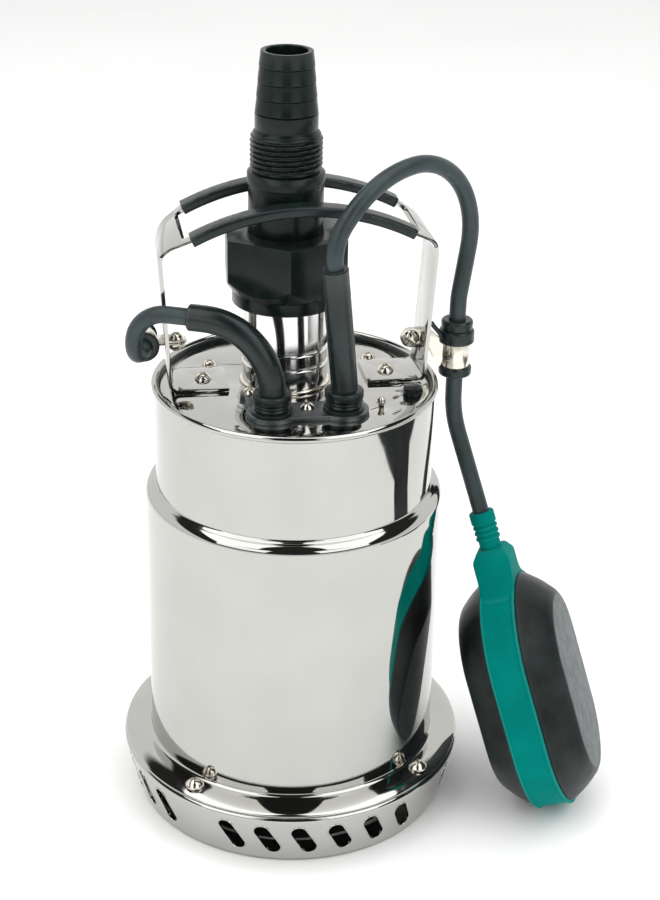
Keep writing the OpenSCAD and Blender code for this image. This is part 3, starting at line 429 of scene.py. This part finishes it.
DOME_START = 76
DOME_R = BASE_H - 10.2
DRUM_ROWS = (60, 95, 130)
UPPER_ROWS = (185, 202)
WALL_ROWS_OUT = (6, 14, 22)
WALL_ROWS_IN = (25, 16, 8)


def dome(rise, start, end, steps=10):
    """Points across the domed flange, from radius start to radius end."""
    r = DOME_R + rise
    xs = [start + (end - start) * k / steps for k in range(steps + 1)]
    return [(x, BASE_H - DOME_R + math.sqrt(r * r - max(0, x - DOME_START) ** 2)) for x in xs]


def casing_shell():
    """The outer casing: two drums, the rounded shoulder between them, a rolled rim and a domed flange."""
    fillet, rim = 1.8, 1.6
    inner, upper_in = DRUM_R - SHEET, UPPER_R - SHEET
    flange_top = BASE_H + SHEET
    hollow = 1.3
    edge_r = SHEET / 2
    edge_x = FLANGE_R - edge_r
    edge_z = dome(edge_r, edge_x, edge_x, 1)[0][1]
    profile = arc(edge_x, edge_z, edge_r, -60, 60, 8)
    profile += dome(SHEET, edge_x, DRUM_R + fillet)[1:-1]
    profile += arc(DRUM_R + fillet, flange_top + fillet, fillet, 270, 180)
    profile += [(DRUM_R, z) for z in DRUM_ROWS]
    profile += arc(UPPER_R, SHOULDER_Z, SHOULDER_R, 0, 74, 20)
    bend = SHOULDER_Z + SHOULDER_R + 0.2
    profile += arc(UPPER_R + hollow, bend + hollow, hollow, 254, 180, 8)
    profile += [(UPPER_R, z) for z in UPPER_ROWS]
    profile += arc(UPPER_R - 0.3, RIM_Z - rim, rim, -78, 190, 24)
    profile += [(upper_in, RIM_Z - 6), (upper_in, 190), (upper_in, 169)]
    profile += arc(upper_in, SHOULDER_Z, SHOULDER_R, 80, 0, 10)
    profile += [(inner, 120), (inner, 70), (inner, BASE_H)]
    profile += dome(0, DRUM_R, edge_x)
    new_piece("casing_shell", *turned(profile), LOOKS["polished_steel"], "pump", ["outer_casing"])


SLOT_W, SLOT_RUN, SLOT_LEAN = 7.4, 11.4, 27
SLOT_Z = BASE_H * 0.46
SLOTS_PER_SIDE = 6
SLOT_ARC, FIRST_SIDE = 74.4, -87.5


def slot_angles():
    """The angle of each slot about the pump's axis, in four groups."""
    pitch = SLOT_ARC / SLOTS_PER_SIDE
    middle = (SLOTS_PER_SIDE - 1) / 2
    turns = [side * 90 + FIRST_SIDE + (i - middle) * pitch for side in range(4) for i in range(SLOTS_PER_SIDE)]
    return [math.radians(turn) for turn in turns]


def slot_outline(width, steps=10):
    """A slot's outline as (across, up) points about its middle."""
    lean = math.radians(SLOT_LEAN)
    points = []
    for end in (1, -1):
        for k in range(steps + 1):
            a = math.radians(180 * k / steps) + (0 if end > 0 else math.pi)
            along = end * SLOT_RUN / 2 + width / 2 * math.sin(a)
            across = width / 2 * math.cos(a)
            points.append((along * math.sin(lean) + across * math.cos(lean),
                           -along * math.cos(lean) + across * math.sin(lean)))
    return points


def wall_radius(z):
    """The radius of the base's sloping wall at a height."""
    return FOOT_R + (EDGE_R - FOOT_R) * (z - 1) / (BASE_H - 4.5)


def base_shell():
    """The strainer base: a domed top, a sloping slotted wall and a turned-in foot."""
    wall = SHEET
    outer = arc(FOOT_R - 1, 1, 1, -90, -14, 8)
    outer += [(wall_radius(z), z) for z in WALL_ROWS_OUT]
    outer += arc(EDGE_R - 1.6, BASE_H - 3.9, 1.6, -14, 66, 10)
    outer += dome(0, EDGE_R - 2.2, DRUM_R, 12)[1:]
    inside = [(FOOT_IN_R, BASE_H), (FOOT_IN_R, BASE_H - wall)]
    inside += dome(-wall, DRUM_R, EDGE_R - 3.4, 12)
    inside += [(wall_radius(z) - wall, z) for z in WALL_ROWS_IN]
    inside += [(FOOT_R - 2.1, 1.3), (FOOT_IN_R, 1.3), (FOOT_IN_R, 0)]
    piece = new_piece("base_shell", *turned(outer + inside, segments=256), LOOKS["polished_steel"], "pump",
                      ["strainer_base"])
    cutter = merged(*[slot_prism(a) for a in slot_angles()])
    tool = bpy.data.objects.new("slot_cutter", bpy.data.meshes.new("slot_cutter"))
    tool.data.from_pydata([Vector(v) * MM for v in cutter[0]], [], cutter[1])
    tidy_mesh(tool.data, 30)
    bpy.context.scene.collection.objects.link(tool)
    cut = piece.modifiers.new("slots", "BOOLEAN")
    cut.object = tool
    cut.solver = "EXACT"
    apply_modifiers(piece)
    bpy.data.objects.remove(tool)
    piece.data.shade_smooth()
    piece.data.set_sharp_from_angle(angle=math.radians(28))
    lips = merged(*[slot_lip(a) for a in slot_angles()])
    new_piece("slot_lips", *lips, LOOKS["polished_steel"], "pump")


def apply_modifiers(piece):
    """Make a piece's modifiers part of its mesh."""
    graph = bpy.context.evaluated_depsgraph_get()
    final = bpy.data.meshes.new_from_object(piece.evaluated_get(graph))
    piece.modifiers.clear()
    piece.data = final


def slot_prism(angle):
    """The solid that cuts one slot."""
    near, far = 70, 92
    turn = Matrix.Rotation(angle, 4, "Z")
    rings = [[turn @ Vector((x, y, SLOT_Z + z)) for y, z in slot_outline(SLOT_W)] for x in (near, far)]
    return loop_lofted(rings)


def slot_lip(angle, bead=0.55, sides=8):
    """A thin raised bead round a slot, on the base's sloping wall."""
    turn = Matrix.Rotation(angle, 4, "Z")
    rings = []
    for inner, outer in zip(slot_outline(SLOT_W), slot_outline(SLOT_W + 2 * bead)):
        ring = []
        for k in range(sides):
            a = 2 * math.pi * k / sides
            share = 0.5 + 0.5 * math.cos(a)
            y = inner[0] + (outer[0] - inner[0]) * share * 1.4
            z = SLOT_Z + inner[1] + (outer[1] - inner[1]) * share * 1.4
            x = math.sqrt(wall_radius(z) ** 2 - y * y) + bead * 0.55 * math.sin(a)
            ring.append(turn @ Vector((x, y, z)))
        rings.append(ring)
    return loop_lofted(rings, closed=True)


# ---------- outlet ----------

def outlet_neck():
    """The chromed outlet: a tube with two rolled grooves and a wide top under the nut, welded to the lid."""
    r, wide_r, wall, groove, half_groove = 20.3, 23.4, 2.4, 0.9, 1.9
    bottom, widens = LID_TOP - 3, 260
    top = high("outlet_neck").z
    profile = [(r, bottom)]
    for z in (231, 238.5):
        profile += [(r, z - half_groove)] + arc(r + 0.5, z, groove + 0.5, 250, 110, 8) + [(r, z + half_groove)]
    profile += [(r, widens - 0.5), (wide_r, widens), (wide_r, top), (r - wall, top), (r - wall, bottom)]
    new_piece("neck_tube", *turned(profile, OUTLET), LOOKS["bright_chrome"], "pump", ["outlet_neck"])
    weld = [(r - 0.2, LID_TOP - 0.5)] + arc(r + 0.2, LID_TOP + 0.1, 1.1, 0, 90, 6) + [(r - 0.2, LID_TOP + 1.2)]
    new_piece("neck_weld", *turned(weld, OUTLET), LOOKS["bright_fasteners"], "pump")


def thread_height(z, a, low_z, high_z, pitch):
    """Share of the thread's depth at height z and angle a, running out at both ends."""
    phase = ((z - low_z) / pitch - a / (2 * math.pi)) % 1
    tooth = min(1.0, max(0.0, 1.25 - abs(phase - 0.5) * 4))
    run_out = min(1.0, (z - low_z) / pitch, (high_z - z) / pitch)
    return tooth * max(0.0, run_out)


def hose_adapter():
    """The hose adapter: a seat under the nut, a collar, a male thread and a barbed tail."""
    top, bottom = high("hose_adapter").z, low("hose_adapter").z
    collar, male, seat, tail = 316, 322.5, 340.5, 349.5
    body, root, crest, bore, seat_r, mouth_r = 17.4, 15.2, 16.6, 9.5, 14.4, 12.1
    seat_flange, barbs, pitch = 23.4, 4, 2.31
    profile = [(seat_flange, bottom), (seat_flange, bottom + 5), (body, bottom + 5), (body, bottom + 8)]
    profile += [(body, collar - 0.5)] + arc(body, collar + 0.5, 0.5, -90, 0, 4) + [(body + 0.5, male - 0.8)]
    profile += [(body - 0.3, male)]
    rows = 72
    profile += [(root, male + 0.1 + (seat - 0.2 - male) * k / rows) for k in range(rows + 1)]
    profile += [(seat_r + 0.5, seat)] + arc(seat_r - 0.4, seat + 0.9, 0.4, 0, 60, 3)
    profile += [(seat_r - 0.25, seat + 1.6), (seat_r, seat + 2.2), (seat_r, tail - 0.6)]
    step = (top - tail) / barbs
    for i in range(barbs):
        r = seat_r - 0.1 - i * (seat_r - mouth_r) / barbs
        z = tail + i * step
        profile += [(r - 0.75, z)] + arc(r - 0.35, z + 0.45, 0.35, -60, 30, 4)
        profile += [(r - 0.75, z + step - 0.15)]
    lip = mouth_r - 0.9
    profile += arc(lip, top - 0.5, 0.5, 20, 90, 4) + arc(bore + 0.6, top - 0.6, 0.6, 90, 180, 4)
    profile += [(bore, top - 20), (bore, bottom)]

    def swell(r, z, a):
        on_thread = male + 0.05 < z < seat - 0.05 and abs(r - root) < 0.01
        return (crest - root) * thread_height(z, a, male, seat, pitch) if on_thread else 0
    new_piece("hose_adapter_moulding", *turned(profile, OUTLET, swell=swell), LOOKS["black_plastic"], "pump",
              ["hose_adapter"], crease=50)


# ---------- glands, cables and clamps ----------

def gland_piece(name, node):
    """A ribbed gland moulding round a cable, where it leaves the lid."""
    at = centre(node).xy
    top = high(node).z
    bottom, body_r, flange_r = LID_TOP - 3, 7.8, 9.4
    profile = [(body_r, bottom), (body_r, LID_TOP + 1.8), (flange_r, LID_TOP + 2.2), (flange_r, LID_TOP + 3)]
    for z in (LID_TOP + 3.6, LID_TOP + 5.4):
        profile += arc(body_r - 0.3, z + 0.6, 0.9, -60, 60, 6)
    profile += [(body_r - 0.6, top - 4.6)]
    profile += arc(body_r + 0.3, top - 3.4, 0.9, -60, 0, 4) + arc(body_r + 0.3, top - 0.9, 0.9, 0, 90, 5)
    profile += [(BOOT_R + 0.2, top), (BOOT_R - 1, top + 0.4), (CABLE_BORE, top), (CABLE_BORE, bottom)]
    new_piece(name, *turned(profile, at, 96), LOOKS["black_rubber"], "pump", [node])


def planar_route(start, azimuth, steps):
    """Points along straights and bends in an upright plane, each step a (straight, bend radius, turn)."""
    side = Vector((math.cos(azimuth), math.sin(azimuth), 0))
    points, spot, heading = [Vector(start)], Vector(start), 0.0
    for run, radius, turn in steps:
        if run:
            for _ in range(4):
                spot = spot + (side * math.sin(heading) + Vector((0, 0, math.cos(heading)))) * (run / 4)
                points.append(spot)
        parts = max(1, round(abs(turn) / 4))
        for _ in range(parts if radius else 0):
            step = math.radians(turn) / parts
            chord = 2 * radius * math.sin(abs(step) / 2)
            heading += step / 2
            spot = spot + (side * math.sin(heading) + Vector((0, 0, math.cos(heading)))) * chord
            heading += step / 2
            points.append(spot)
    return points


FLOAT_BOOT_LEAN = 7.5
FLOAT_BOOT_RUN = 55


def boot(name, node, gland, azimuth, steps):
    """A sleeve moulded onto a cable, open at its far end."""
    at = centre(gland)
    route = planar_route((at.x, at.y, high(gland).z), azimuth, steps)
    ends = len(route) - 1
    back = (route[-1] - route[-2]).normalized()
    route = route[:-1] + [route[-1] - back * 0.4, route[-1], route[-1] - back * 3]
    outer = [BOOT_R] * (ends + 1) + [BOOT_R - 0.4, CABLE_BORE - 0.1]
    new_piece(name, *swept(route, outer, 48), LOOKS["black_rubber"], "pump", [node])


def right_grommet():
    """The grommet in the right clamp, with the small tail left from fitting it."""
    at = centre("right_grommet").xy
    bottom, top = low("right_grommet").z, high("right_grommet").z
    band_low, band_high = 222, 234.5
    bore, waist, flange = CABLE_BORE, 6, 8.7
    profile = arc(flange - 1.9, bottom + 1.2, 1.2, -90, 0, 5) + arc(flange - 1.7, band_low - 1, 1, 0, 90, 5)
    profile += [(waist, band_low), (waist, band_high)]
    profile += arc(flange - 0.9, band_high + 0.9, 0.9, -90, 0, 5)
    profile += arc(flange - 1.4, band_high + 5.4, 1.2, 0, 70, 5)
    profile += [(waist + 1.3, band_high + 6.6), (waist + 1.5, band_high + 7.4)]
    profile += arc(waist + 0.3, top - 1.4, 1.4, 0, 90, 6)
    profile += [(bore, top - 0.3), (bore, bottom)]
    new_piece("right_grommet_moulding", *turned(profile, at, 96), LOOKS["black_rubber"], "pump",
              ["right_grommet"])
    start = Vector((at.x - flange + 1.6, at.y - 2, band_high + 3))
    tail = [start + Vector((-0.9, -0.2, 1.15)) * k for k in range(9)]
    radii = [1.1] * 7 + [1.3, 0.7]
    new_piece("grommet_tail", *swept(tail, radii, 16), LOOKS["black_rubber"], "pump")


def left_grommet():
    """The grommet in the left clamp, lying along the power cable."""
    box_low, box_high = low("left_grommet"), high("left_grommet")
    middle = centre("left_grommet")
    length = box_high.y - box_low.y
    flange, waist, bore = 7.4, 6, CABLE_BORE
    half = length / 2
    profile = arc(flange - 0.8, -half + 0.8, 0.8, -90, 0, 5) + arc(flange - 0.6, -half + 1.4, 0.6, 0, 90, 4)
    profile += [(waist, -half + 2), (waist, half - 2)]
    profile += arc(flange - 0.6, half - 1.4, 0.6, -90, 0, 4) + arc(flange - 0.8, half - 0.8, 0.8, 0, 90, 5)
    profile += [(bore, half), (bore, -half)]
    turn = Matrix.Translation(middle) @ Matrix.Rotation(math.radians(-90), 4, "X")
    new_piece("left_grommet_moulding", *moved(turned(profile, segments=96), turn), LOOKS["black_rubber"], "pump",
              ["left_grommet"])


def hanging_cable():
    """The cable from inside the right grommet to inside the float's neck, in two pieces: down past the swing
    joint, round one bend, straight to the float joint and on into the neck.
    """
    r, bend_r, above, into_neck, steps = 4.1, 54, 16, 16, 14
    down = -FLOAT_UP
    lean = math.acos(-down.z)
    reach = (FLOAT - SWING).xy.length
    run = (reach - bend_r * (1 - math.cos(lean))) / math.sin(lean)
    drop = SWING.z - FLOAT.z
    straight = drop - bend_r * math.sin(lean) - run * math.cos(lean)
    side = Vector(((FLOAT - SWING).x, (FLOAT - SWING).y, 0)).normalized()
    points = [SWING + Vector((0, 0, above - k * 2)) for k in range(above // 2 + 1)]
    start = SWING - Vector((0, 0, straight))
    for k in range(1, steps + 1):
        turn = lean * k / steps
        points.append(start + side * (bend_r * (1 - math.cos(turn))) - Vector((0, 0, bend_r * math.sin(turn))))
    last = points[-1]
    points += [last.lerp(FLOAT, k / steps) for k in range(1, steps + 1)]
    points += [FLOAT + down * (k * 2) for k in range(1, into_neck // 2 + 1)]
    middle = len(points) // 2
    upper = new_piece("hanging_cable_upper", *swept(points[:middle + 1], r), LOOKS["cable_jacket"], None)
    lower = new_piece("hanging_cable_lower", *swept(points[middle:], r), LOOKS["cable_jacket"], None)
    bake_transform(upper)
    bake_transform(lower)
    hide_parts("float_cable_lower")


# ---------- float ----------

def float_matrix():
    """From the float's own frame, with its neck up and its origin at the tilt joint, to the pump's."""
    turn = Euler([math.radians(a) for a in FLOAT_TURN], "XYZ").to_matrix().to_4x4()
    return Matrix.Translation(FLOAT) @ turn


RING_HALF = 8.7
FLOAT_R = 41
# share of the painted sheen that the float's flanks get
FLANK_PAINTED_SHEEN = 0.05
NECK_TOP = -4.15
NECK_LEN = 39
RING_TOP = NECK_TOP - NECK_LEN
RING_MID = RING_TOP - FLOAT_R + 3
RING_RUN = 39


def float_outline(r, steps=40):
    """The float's rounded outline in its own YZ plane, as (y, z) points."""
    points = []
    for end, mid in ((0, RING_MID), (180, RING_MID - RING_RUN)):
        for k in range(steps + 1):
            a = math.radians(end + 180 * k / steps)
            points.append((r * math.cos(a), mid + r * math.sin(a)))
        side = -1 if end == 0 else 1
        for k in range(1, 8):
            z = mid + side * RING_RUN * k / 8
            points.append((side * r, z))
    return points


def float_ring():
    """The float's teal part: a lipped band between the halves, the neck block and the ribbed cable stem."""
    half, lip = RING_HALF - 0.05, 0.7
    section = [(-half, -3), (-half, lip - 0.3), (-half + 0.3, lip), (-half + 1.1, lip), (-half + 1.6, 0.15)]
    section += [(-half / 2, 0)]
    section += [(-x, n) for x, n in reversed(section)]
    outlines = {n: float_outline(FLOAT_R + n) for n in {n for _, n in section}}
    count = len(outlines[0])
    rings = [[Vector((x, *outlines[n][k])) for x, n in section] for k in range(count)]
    band = loop_lofted(rings, closed=True)
    block = loop_lofted([rounded_box(*s) for s in (
        (8.5, 22.6, 0.9, RING_TOP - 4), (8.6, 18.4, 0.9, RING_TOP - 1), (8.7, 15.0, 0.9, RING_TOP + 1.6),
        (8.8, 12.8, 0.9, RING_TOP + 4), (9.0, 11.2, 0.9, RING_TOP + 7), (9.3, 10.0, 0.9, RING_TOP + 11),
        (9.4, 9.2, 0.9, RING_TOP + 14.6), (9.1, 8.7, 0.9, RING_TOP + 16), (6.9, 7.2, 0.9, RING_TOP + 19.4),
        (6.2, 6.5, 0.9, RING_TOP + 20))])
    ribs, rib_pitch = 3, 2.9
    stem = [(CABLE_BORE, RING_TOP + 12), (5.5, RING_TOP + 12)]
    for i in range(ribs):
        z = NECK_TOP - 6 - (ribs - i) * rib_pitch
        stem += [(5.3, z - 0.3)] + arc(5.35, z + 0.9, 0.85, -70, 70, 6)
    stem += [(5.4, NECK_TOP - 6.6)] + arc(5.5, NECK_TOP - 5.4, 0.8, -60, 0, 4)
    stem += arc(5.3, NECK_TOP - 1, 1, 0, 90, 6) + [(CABLE_BORE, NECK_TOP - 0.1)]
    parts = merged(band, block, turned(stem, segments=64))
    new_piece("float_ring_moulding", *moved(parts, float_matrix()), LOOKS["teal_plastic"], "float",
              ["float_ring"])


def rounded_box(half_x, half_y, r, z, steps=6):
    """The outline of a rectangle with rounded corners, at height z."""
    points = []
    for cx, cy, start in ((1, 1, 0), (-1, 1, 90), (-1, -1, 180), (1, -1, 270)):
        for x, y in arc(cx * (half_x - r), cy * (half_y - r), r, start, start + 90, steps):
            points.append(Vector((x, y, z)))
    return points


def float_shell(name, node, side):
    """One dark half of the float: a sloping flank, a rounded ridge and a nearly flat crowned face."""
    depth, ridge_inset, ridge_r = 24.5, 13.6, 2.0
    rows = [(RING_HALF - 2.5, 1.2), (RING_HALF, 1.2), (RING_HALF + 0.1, 0.9), (RING_HALF + 0.6, 0.8)]
    flank = (depth - RING_HALF - 0.6, ridge_inset - 0.8)
    for k in range(1, 9):
        share = k / 9
        bulge = 0.9 * math.sin(math.pi * share)
        rows.append((RING_HALF + 0.6 + flank[0] * share + bulge * 0.6, 0.8 + flank[1] * share - bulge * 0.6))
    for k in range(1, 6):
        a = math.radians(45 * k / 6)
        rows.append((depth - ridge_r * (1 - math.sin(math.radians(45) + a)) * 0.9,
                     ridge_inset + ridge_r * 0.25 * k / 2))
    for k in range(1, 9):
        share = k / 9
        inset = ridge_inset + 2.2 + (FLOAT_R - ridge_inset - 2.6) * share
        rows.append((depth - 0.1 + 0.5 * math.sin(math.pi / 2 * share), inset))
    rings = [[Vector((side * x, y, z)) for y, z in float_outline(FLOAT_R - inset)] for x, inset in rows]
    piece = new_piece(name, *moved(loop_lofted(rings), float_matrix()), LOOKS["float_plastic"], "float", [node],
                      crease=30)
    # painted sheen: full on the broad faces, faint on the flanks
    painted_sheen = piece.data.attributes.new("face_painted_sheen", "FLOAT", "POINT")
    first_sheen_row = len(rows) - 9
    for i, value in enumerate(painted_sheen.data):
        value.value = 1.0 if i // len(rings[0]) >= first_sheen_row else FLANK_PAINTED_SHEEN


# ---------- build ----------

BEVELS = {
    "union_nut": 0.7, "handle_strap": 0.45, "front_grip": 0.5, "rear_grip": 0.5, "gland_plate": 0.3,
    "lid": 0.25, "right_clamp": 0.2, "left_clamp": 0.2, "lid_plug": 0.3, "bleed_pin": 0.0, "lid_seal": 0.0,
}
SMALL_BEVEL = 0.15
POWER_BOOT_AZIMUTH = math.radians(156.4)

casing_shell()
base_shell()
outlet_neck()
hose_adapter()
gland_piece("float_gland_moulding", "float_gland")
gland_piece("power_gland_moulding", "power_gland")
right_grommet()
left_grommet()
towards_clamp = centre("right_grommet") - centre("float_gland")
boot("float_cable_boot_moulding", "float_cable_boot", "float_gland",
     math.atan2(towards_clamp.y, towards_clamp.x), [(0, 40, -FLOAT_BOOT_LEAN), (FLOAT_BOOT_RUN, 0, 0)])
boot("power_cable_boot_moulding", "power_cable_boot", "power_gland", POWER_BOOT_AZIMUTH,
     [(0, 32, 90), (7, 0, 0)])
cad_copy("float_cable_jacket", "float_cable_upper", LOOKS["cable_jacket"], "pump")
cad_copy("power_cable_jacket", "power_cable", LOOKS["cable_jacket"], "pump")
hanging_cable()
float_ring()
float_shell("left_float_half", "left_float_shell", -1)
float_shell("right_float_half", "right_float_shell", 1)

SLOT_OF = {s["node"]: s["material_slot"] for s in frame["record"]["subparts"]}
for node, piece in NODES.items():
    if not piece.hide_render:
        polish_node(node, LOOKS[SLOT_OF[node]], BEVELS.get(node, SMALL_BEVEL))


# ---------- studio ----------

VIEW_AZIMUTH = math.radians(-8.5)


def stage_sheet(name, corners, lift, look):
    """A flat sheet of the stage, lift metres above the lowest point of the pump."""
    mesh = bpy.data.meshes.new(name)
    mesh.from_pydata([(x, y, 0) for x, y in corners], [], [range(len(corners))])
    sheet = bpy.data.objects.new(name, mesh)
    sheet.location.z = CAD_BOX[0].z + lift
    bpy.context.scene.collection.objects.link(sheet)
    mesh.materials.append(look.material)
    return sheet


def pale_floor():
    """A wide, nearly white floor."""
    look = new_look("studio_floor")
    spots = look.remap(look.noise(3.0, 3.0), 0.0, 1.0)
    white, whiter = (0.86, 0.86, 0.855, 1), (0.89, 0.89, 0.885, 1)
    look.set(look.shader.inputs["Base Color"], look.blend(spots, white, whiter))
    look.set(look.shader.inputs["Roughness"], 0.6)
    look.set(look.shader.inputs["Specular IOR Level"], 0.15)
    half = 12
    return stage_sheet("floor", [(-half, -half), (half, -half), (half, half), (-half, half)], 0, look)


def studio_world():
    """Bright low surroundings and a dark upper front, as in a product studio."""
    world = bpy.data.worlds.new("studio")
    bpy.context.scene.world = world
    world.use_nodes = True
    tree = world.node_tree
    coords = tree.nodes.new("ShaderNodeTexCoord")
    split = tree.nodes.new("ShaderNodeSeparateXYZ")
    tree.links.new(coords.outputs["Generated"], split.inputs[0])
    edge = tree.nodes.new("ShaderNodeMapRange")
    edge.inputs["From Min"].default_value = -0.35
    edge.inputs["From Max"].default_value = 0.55
    edge.inputs["To Min"].default_value = 0.06
    edge.inputs["To Max"].default_value = 0.66
    tree.links.new(split.outputs["Y"], edge.inputs["Value"])
    gap = tree.nodes.new("ShaderNodeMath")
    gap.operation = "SUBTRACT"
    tree.links.new(split.outputs["Z"], gap.inputs[0])
    tree.links.new(edge.outputs[0], gap.inputs[1])
    fade = tree.nodes.new("ShaderNodeMapRange")
    fade.interpolation_type = "SMOOTHSTEP"
    fade.inputs["From Min"].default_value = -0.03
    fade.inputs["From Max"].default_value = 0.03
    fade.inputs["To Min"].default_value = 1.05
    fade.inputs["To Max"].default_value = 0.03
    tree.links.new(gap.outputs[0], fade.inputs["Value"])
    background = tree.nodes["Background"]
    background.inputs["Color"].default_value = (1.0, 0.995, 0.985, 1)
    tree.links.new(fade.outputs[0], background.inputs["Strength"])


def panel_light(name, width, height, watts, place):
    """A rectangular light, facing down its own -Z, turned and placed in the camera's azimuth."""
    data = bpy.data.lights.new(name, "AREA")
    data.shape = "RECTANGLE"
    data.size, data.size_y = width, height
    data.energy = watts
    light = bpy.data.objects.new(name, data)
    light.matrix_world = Matrix.Rotation(VIEW_AZIMUTH, 4, "Z") @ place
    bpy.context.scene.collection.objects.link(light)


def softbox(name, side, watts):
    """A long light overhead, whose reflection fills part of the casing's shoulder."""
    width, length, distance = 1.0, 2.2, 1.6
    aim = Vector((0, -DRUM_R, SHOULDER_Z)) * MM
    towards = Vector((side * 0.436, -0.084, 0.896)).normalized()
    along = Vector((side * 0.42, -0.865, -0.27))
    along = (along - towards * along.dot(towards)).normalized()
    turn = Matrix((along.cross(towards), along, towards)).transposed().to_4x4()
    panel_light(name, width, length, watts, Matrix.Translation(aim + towards * distance) @ turn)


def front_panel(name, side, watts):
    """A low panel beside the camera, seen in the fillets and in the dark mouldings."""
    width, height, distance, azimuth, elevation = 0.95, 0.55, 1.5, math.radians(38), math.radians(29)
    level = Vector((side * math.sin(azimuth), -math.cos(azimuth), 0)) * math.cos(elevation)
    towards = level + Vector((0, 0, math.sin(elevation)))
    facing = towards.to_track_quat("Z", "Y").to_matrix().to_4x4()
    panel_light(name, width, height, watts, Matrix.Translation(towards * distance) @ facing)


def dark_card():
    """A dark card on the floor beside the pump, which only its reflection on the casing's right shows."""
    look = new_look("card")
    shades = look.remap(look.noise(9.0, 3.0), 0.0, 1.0)
    darker, dark = (0.008, 0.013, 0.014, 1), (0.03, 0.038, 0.038, 1)
    look.set(look.shader.inputs["Base Color"], look.blend(shades, darker, dark))
    look.set(look.shader.inputs["Roughness"], 0.8)
    corners = [(0.387, -0.100), (0.417, -0.104), (0.440, -0.211), (0.437, -0.313), (0.586, -0.404),
               (0.671, 0.164), (0.505, 0.107), (0.475, 0.031), (0.420, 0.019), (0.391, 0.014)]
    card = stage_sheet("card", corners, 0.001, look)
    card.visible_camera = False
    card.visible_diffuse = False
    card.visible_shadow = False


def dark_underside():
    """A dark disc on the floor under the pump, seen only through the inlet slots: painted shade for the dark
    inside of the base.
    """
    look = new_look("underside")
    # painted shade: near-black colours where the inside of the base lies in shadow
    dark, darker = (0.02, 0.02, 0.02, 1), (0.01, 0.01, 0.01, 1)
    look.set(look.shader.inputs["Base Color"], look.blend(look.noise(20.0, 2.0), darker, dark))
    look.set(look.shader.inputs["Roughness"], 0.9)
    radius, steps = 0.78 * FOOT_R * MM, 64
    turns = [2 * math.pi * k / steps for k in range(steps)]
    stage_sheet("underside", [(radius * math.cos(a), radius * math.sin(a)) for a in turns], 0.0003, look)


def overhead_fill(strength, floor):
    """A very soft overhead light that falls on the floor alone."""
    data = bpy.data.lights.new("overhead_fill", "SUN")
    data.energy = strength
    data.angle = math.radians(120)
    light = bpy.data.objects.new("overhead_fill", data)
    bpy.context.scene.collection.objects.link(light)
    lit = bpy.data.collections.new("lit_floor")
    lit.objects.link(floor)
    light.light_linking.receiver_collection = lit


def camera():
    """A camera in front of the pump, a little to its left and well above it."""
    spot = Vector((-116.7, -781.0, 565.5)) * MM
    target = Vector((17.2, -2.6, 184.3)) * MM
    roll = math.radians(1.18)
    data = bpy.data.cameras.new("camera")
    data.sensor_width = 36
    data.lens = 72.44
    view = bpy.data.objects.new("camera", data)
    view.location = spot
    aim = (target - spot).to_track_quat("-Z", "Y").to_matrix()
    view.rotation_euler = (aim @ Matrix.Rotation(roll, 3, "Z")).to_euler()
    bpy.context.scene.collection.objects.link(view)
    bpy.context.scene.camera = view


floor = pale_floor()
dark_card()
dark_underside()
studio_world()
softbox("left_softbox", -1, 14)
softbox("right_softbox", 1, 14)
front_panel("left_panel", -1, 3)
front_panel("right_panel", 1, 3)
overhead_fill(2.0, floor)
camera()
bpy.context.scene.view_settings.view_transform = "Standard"
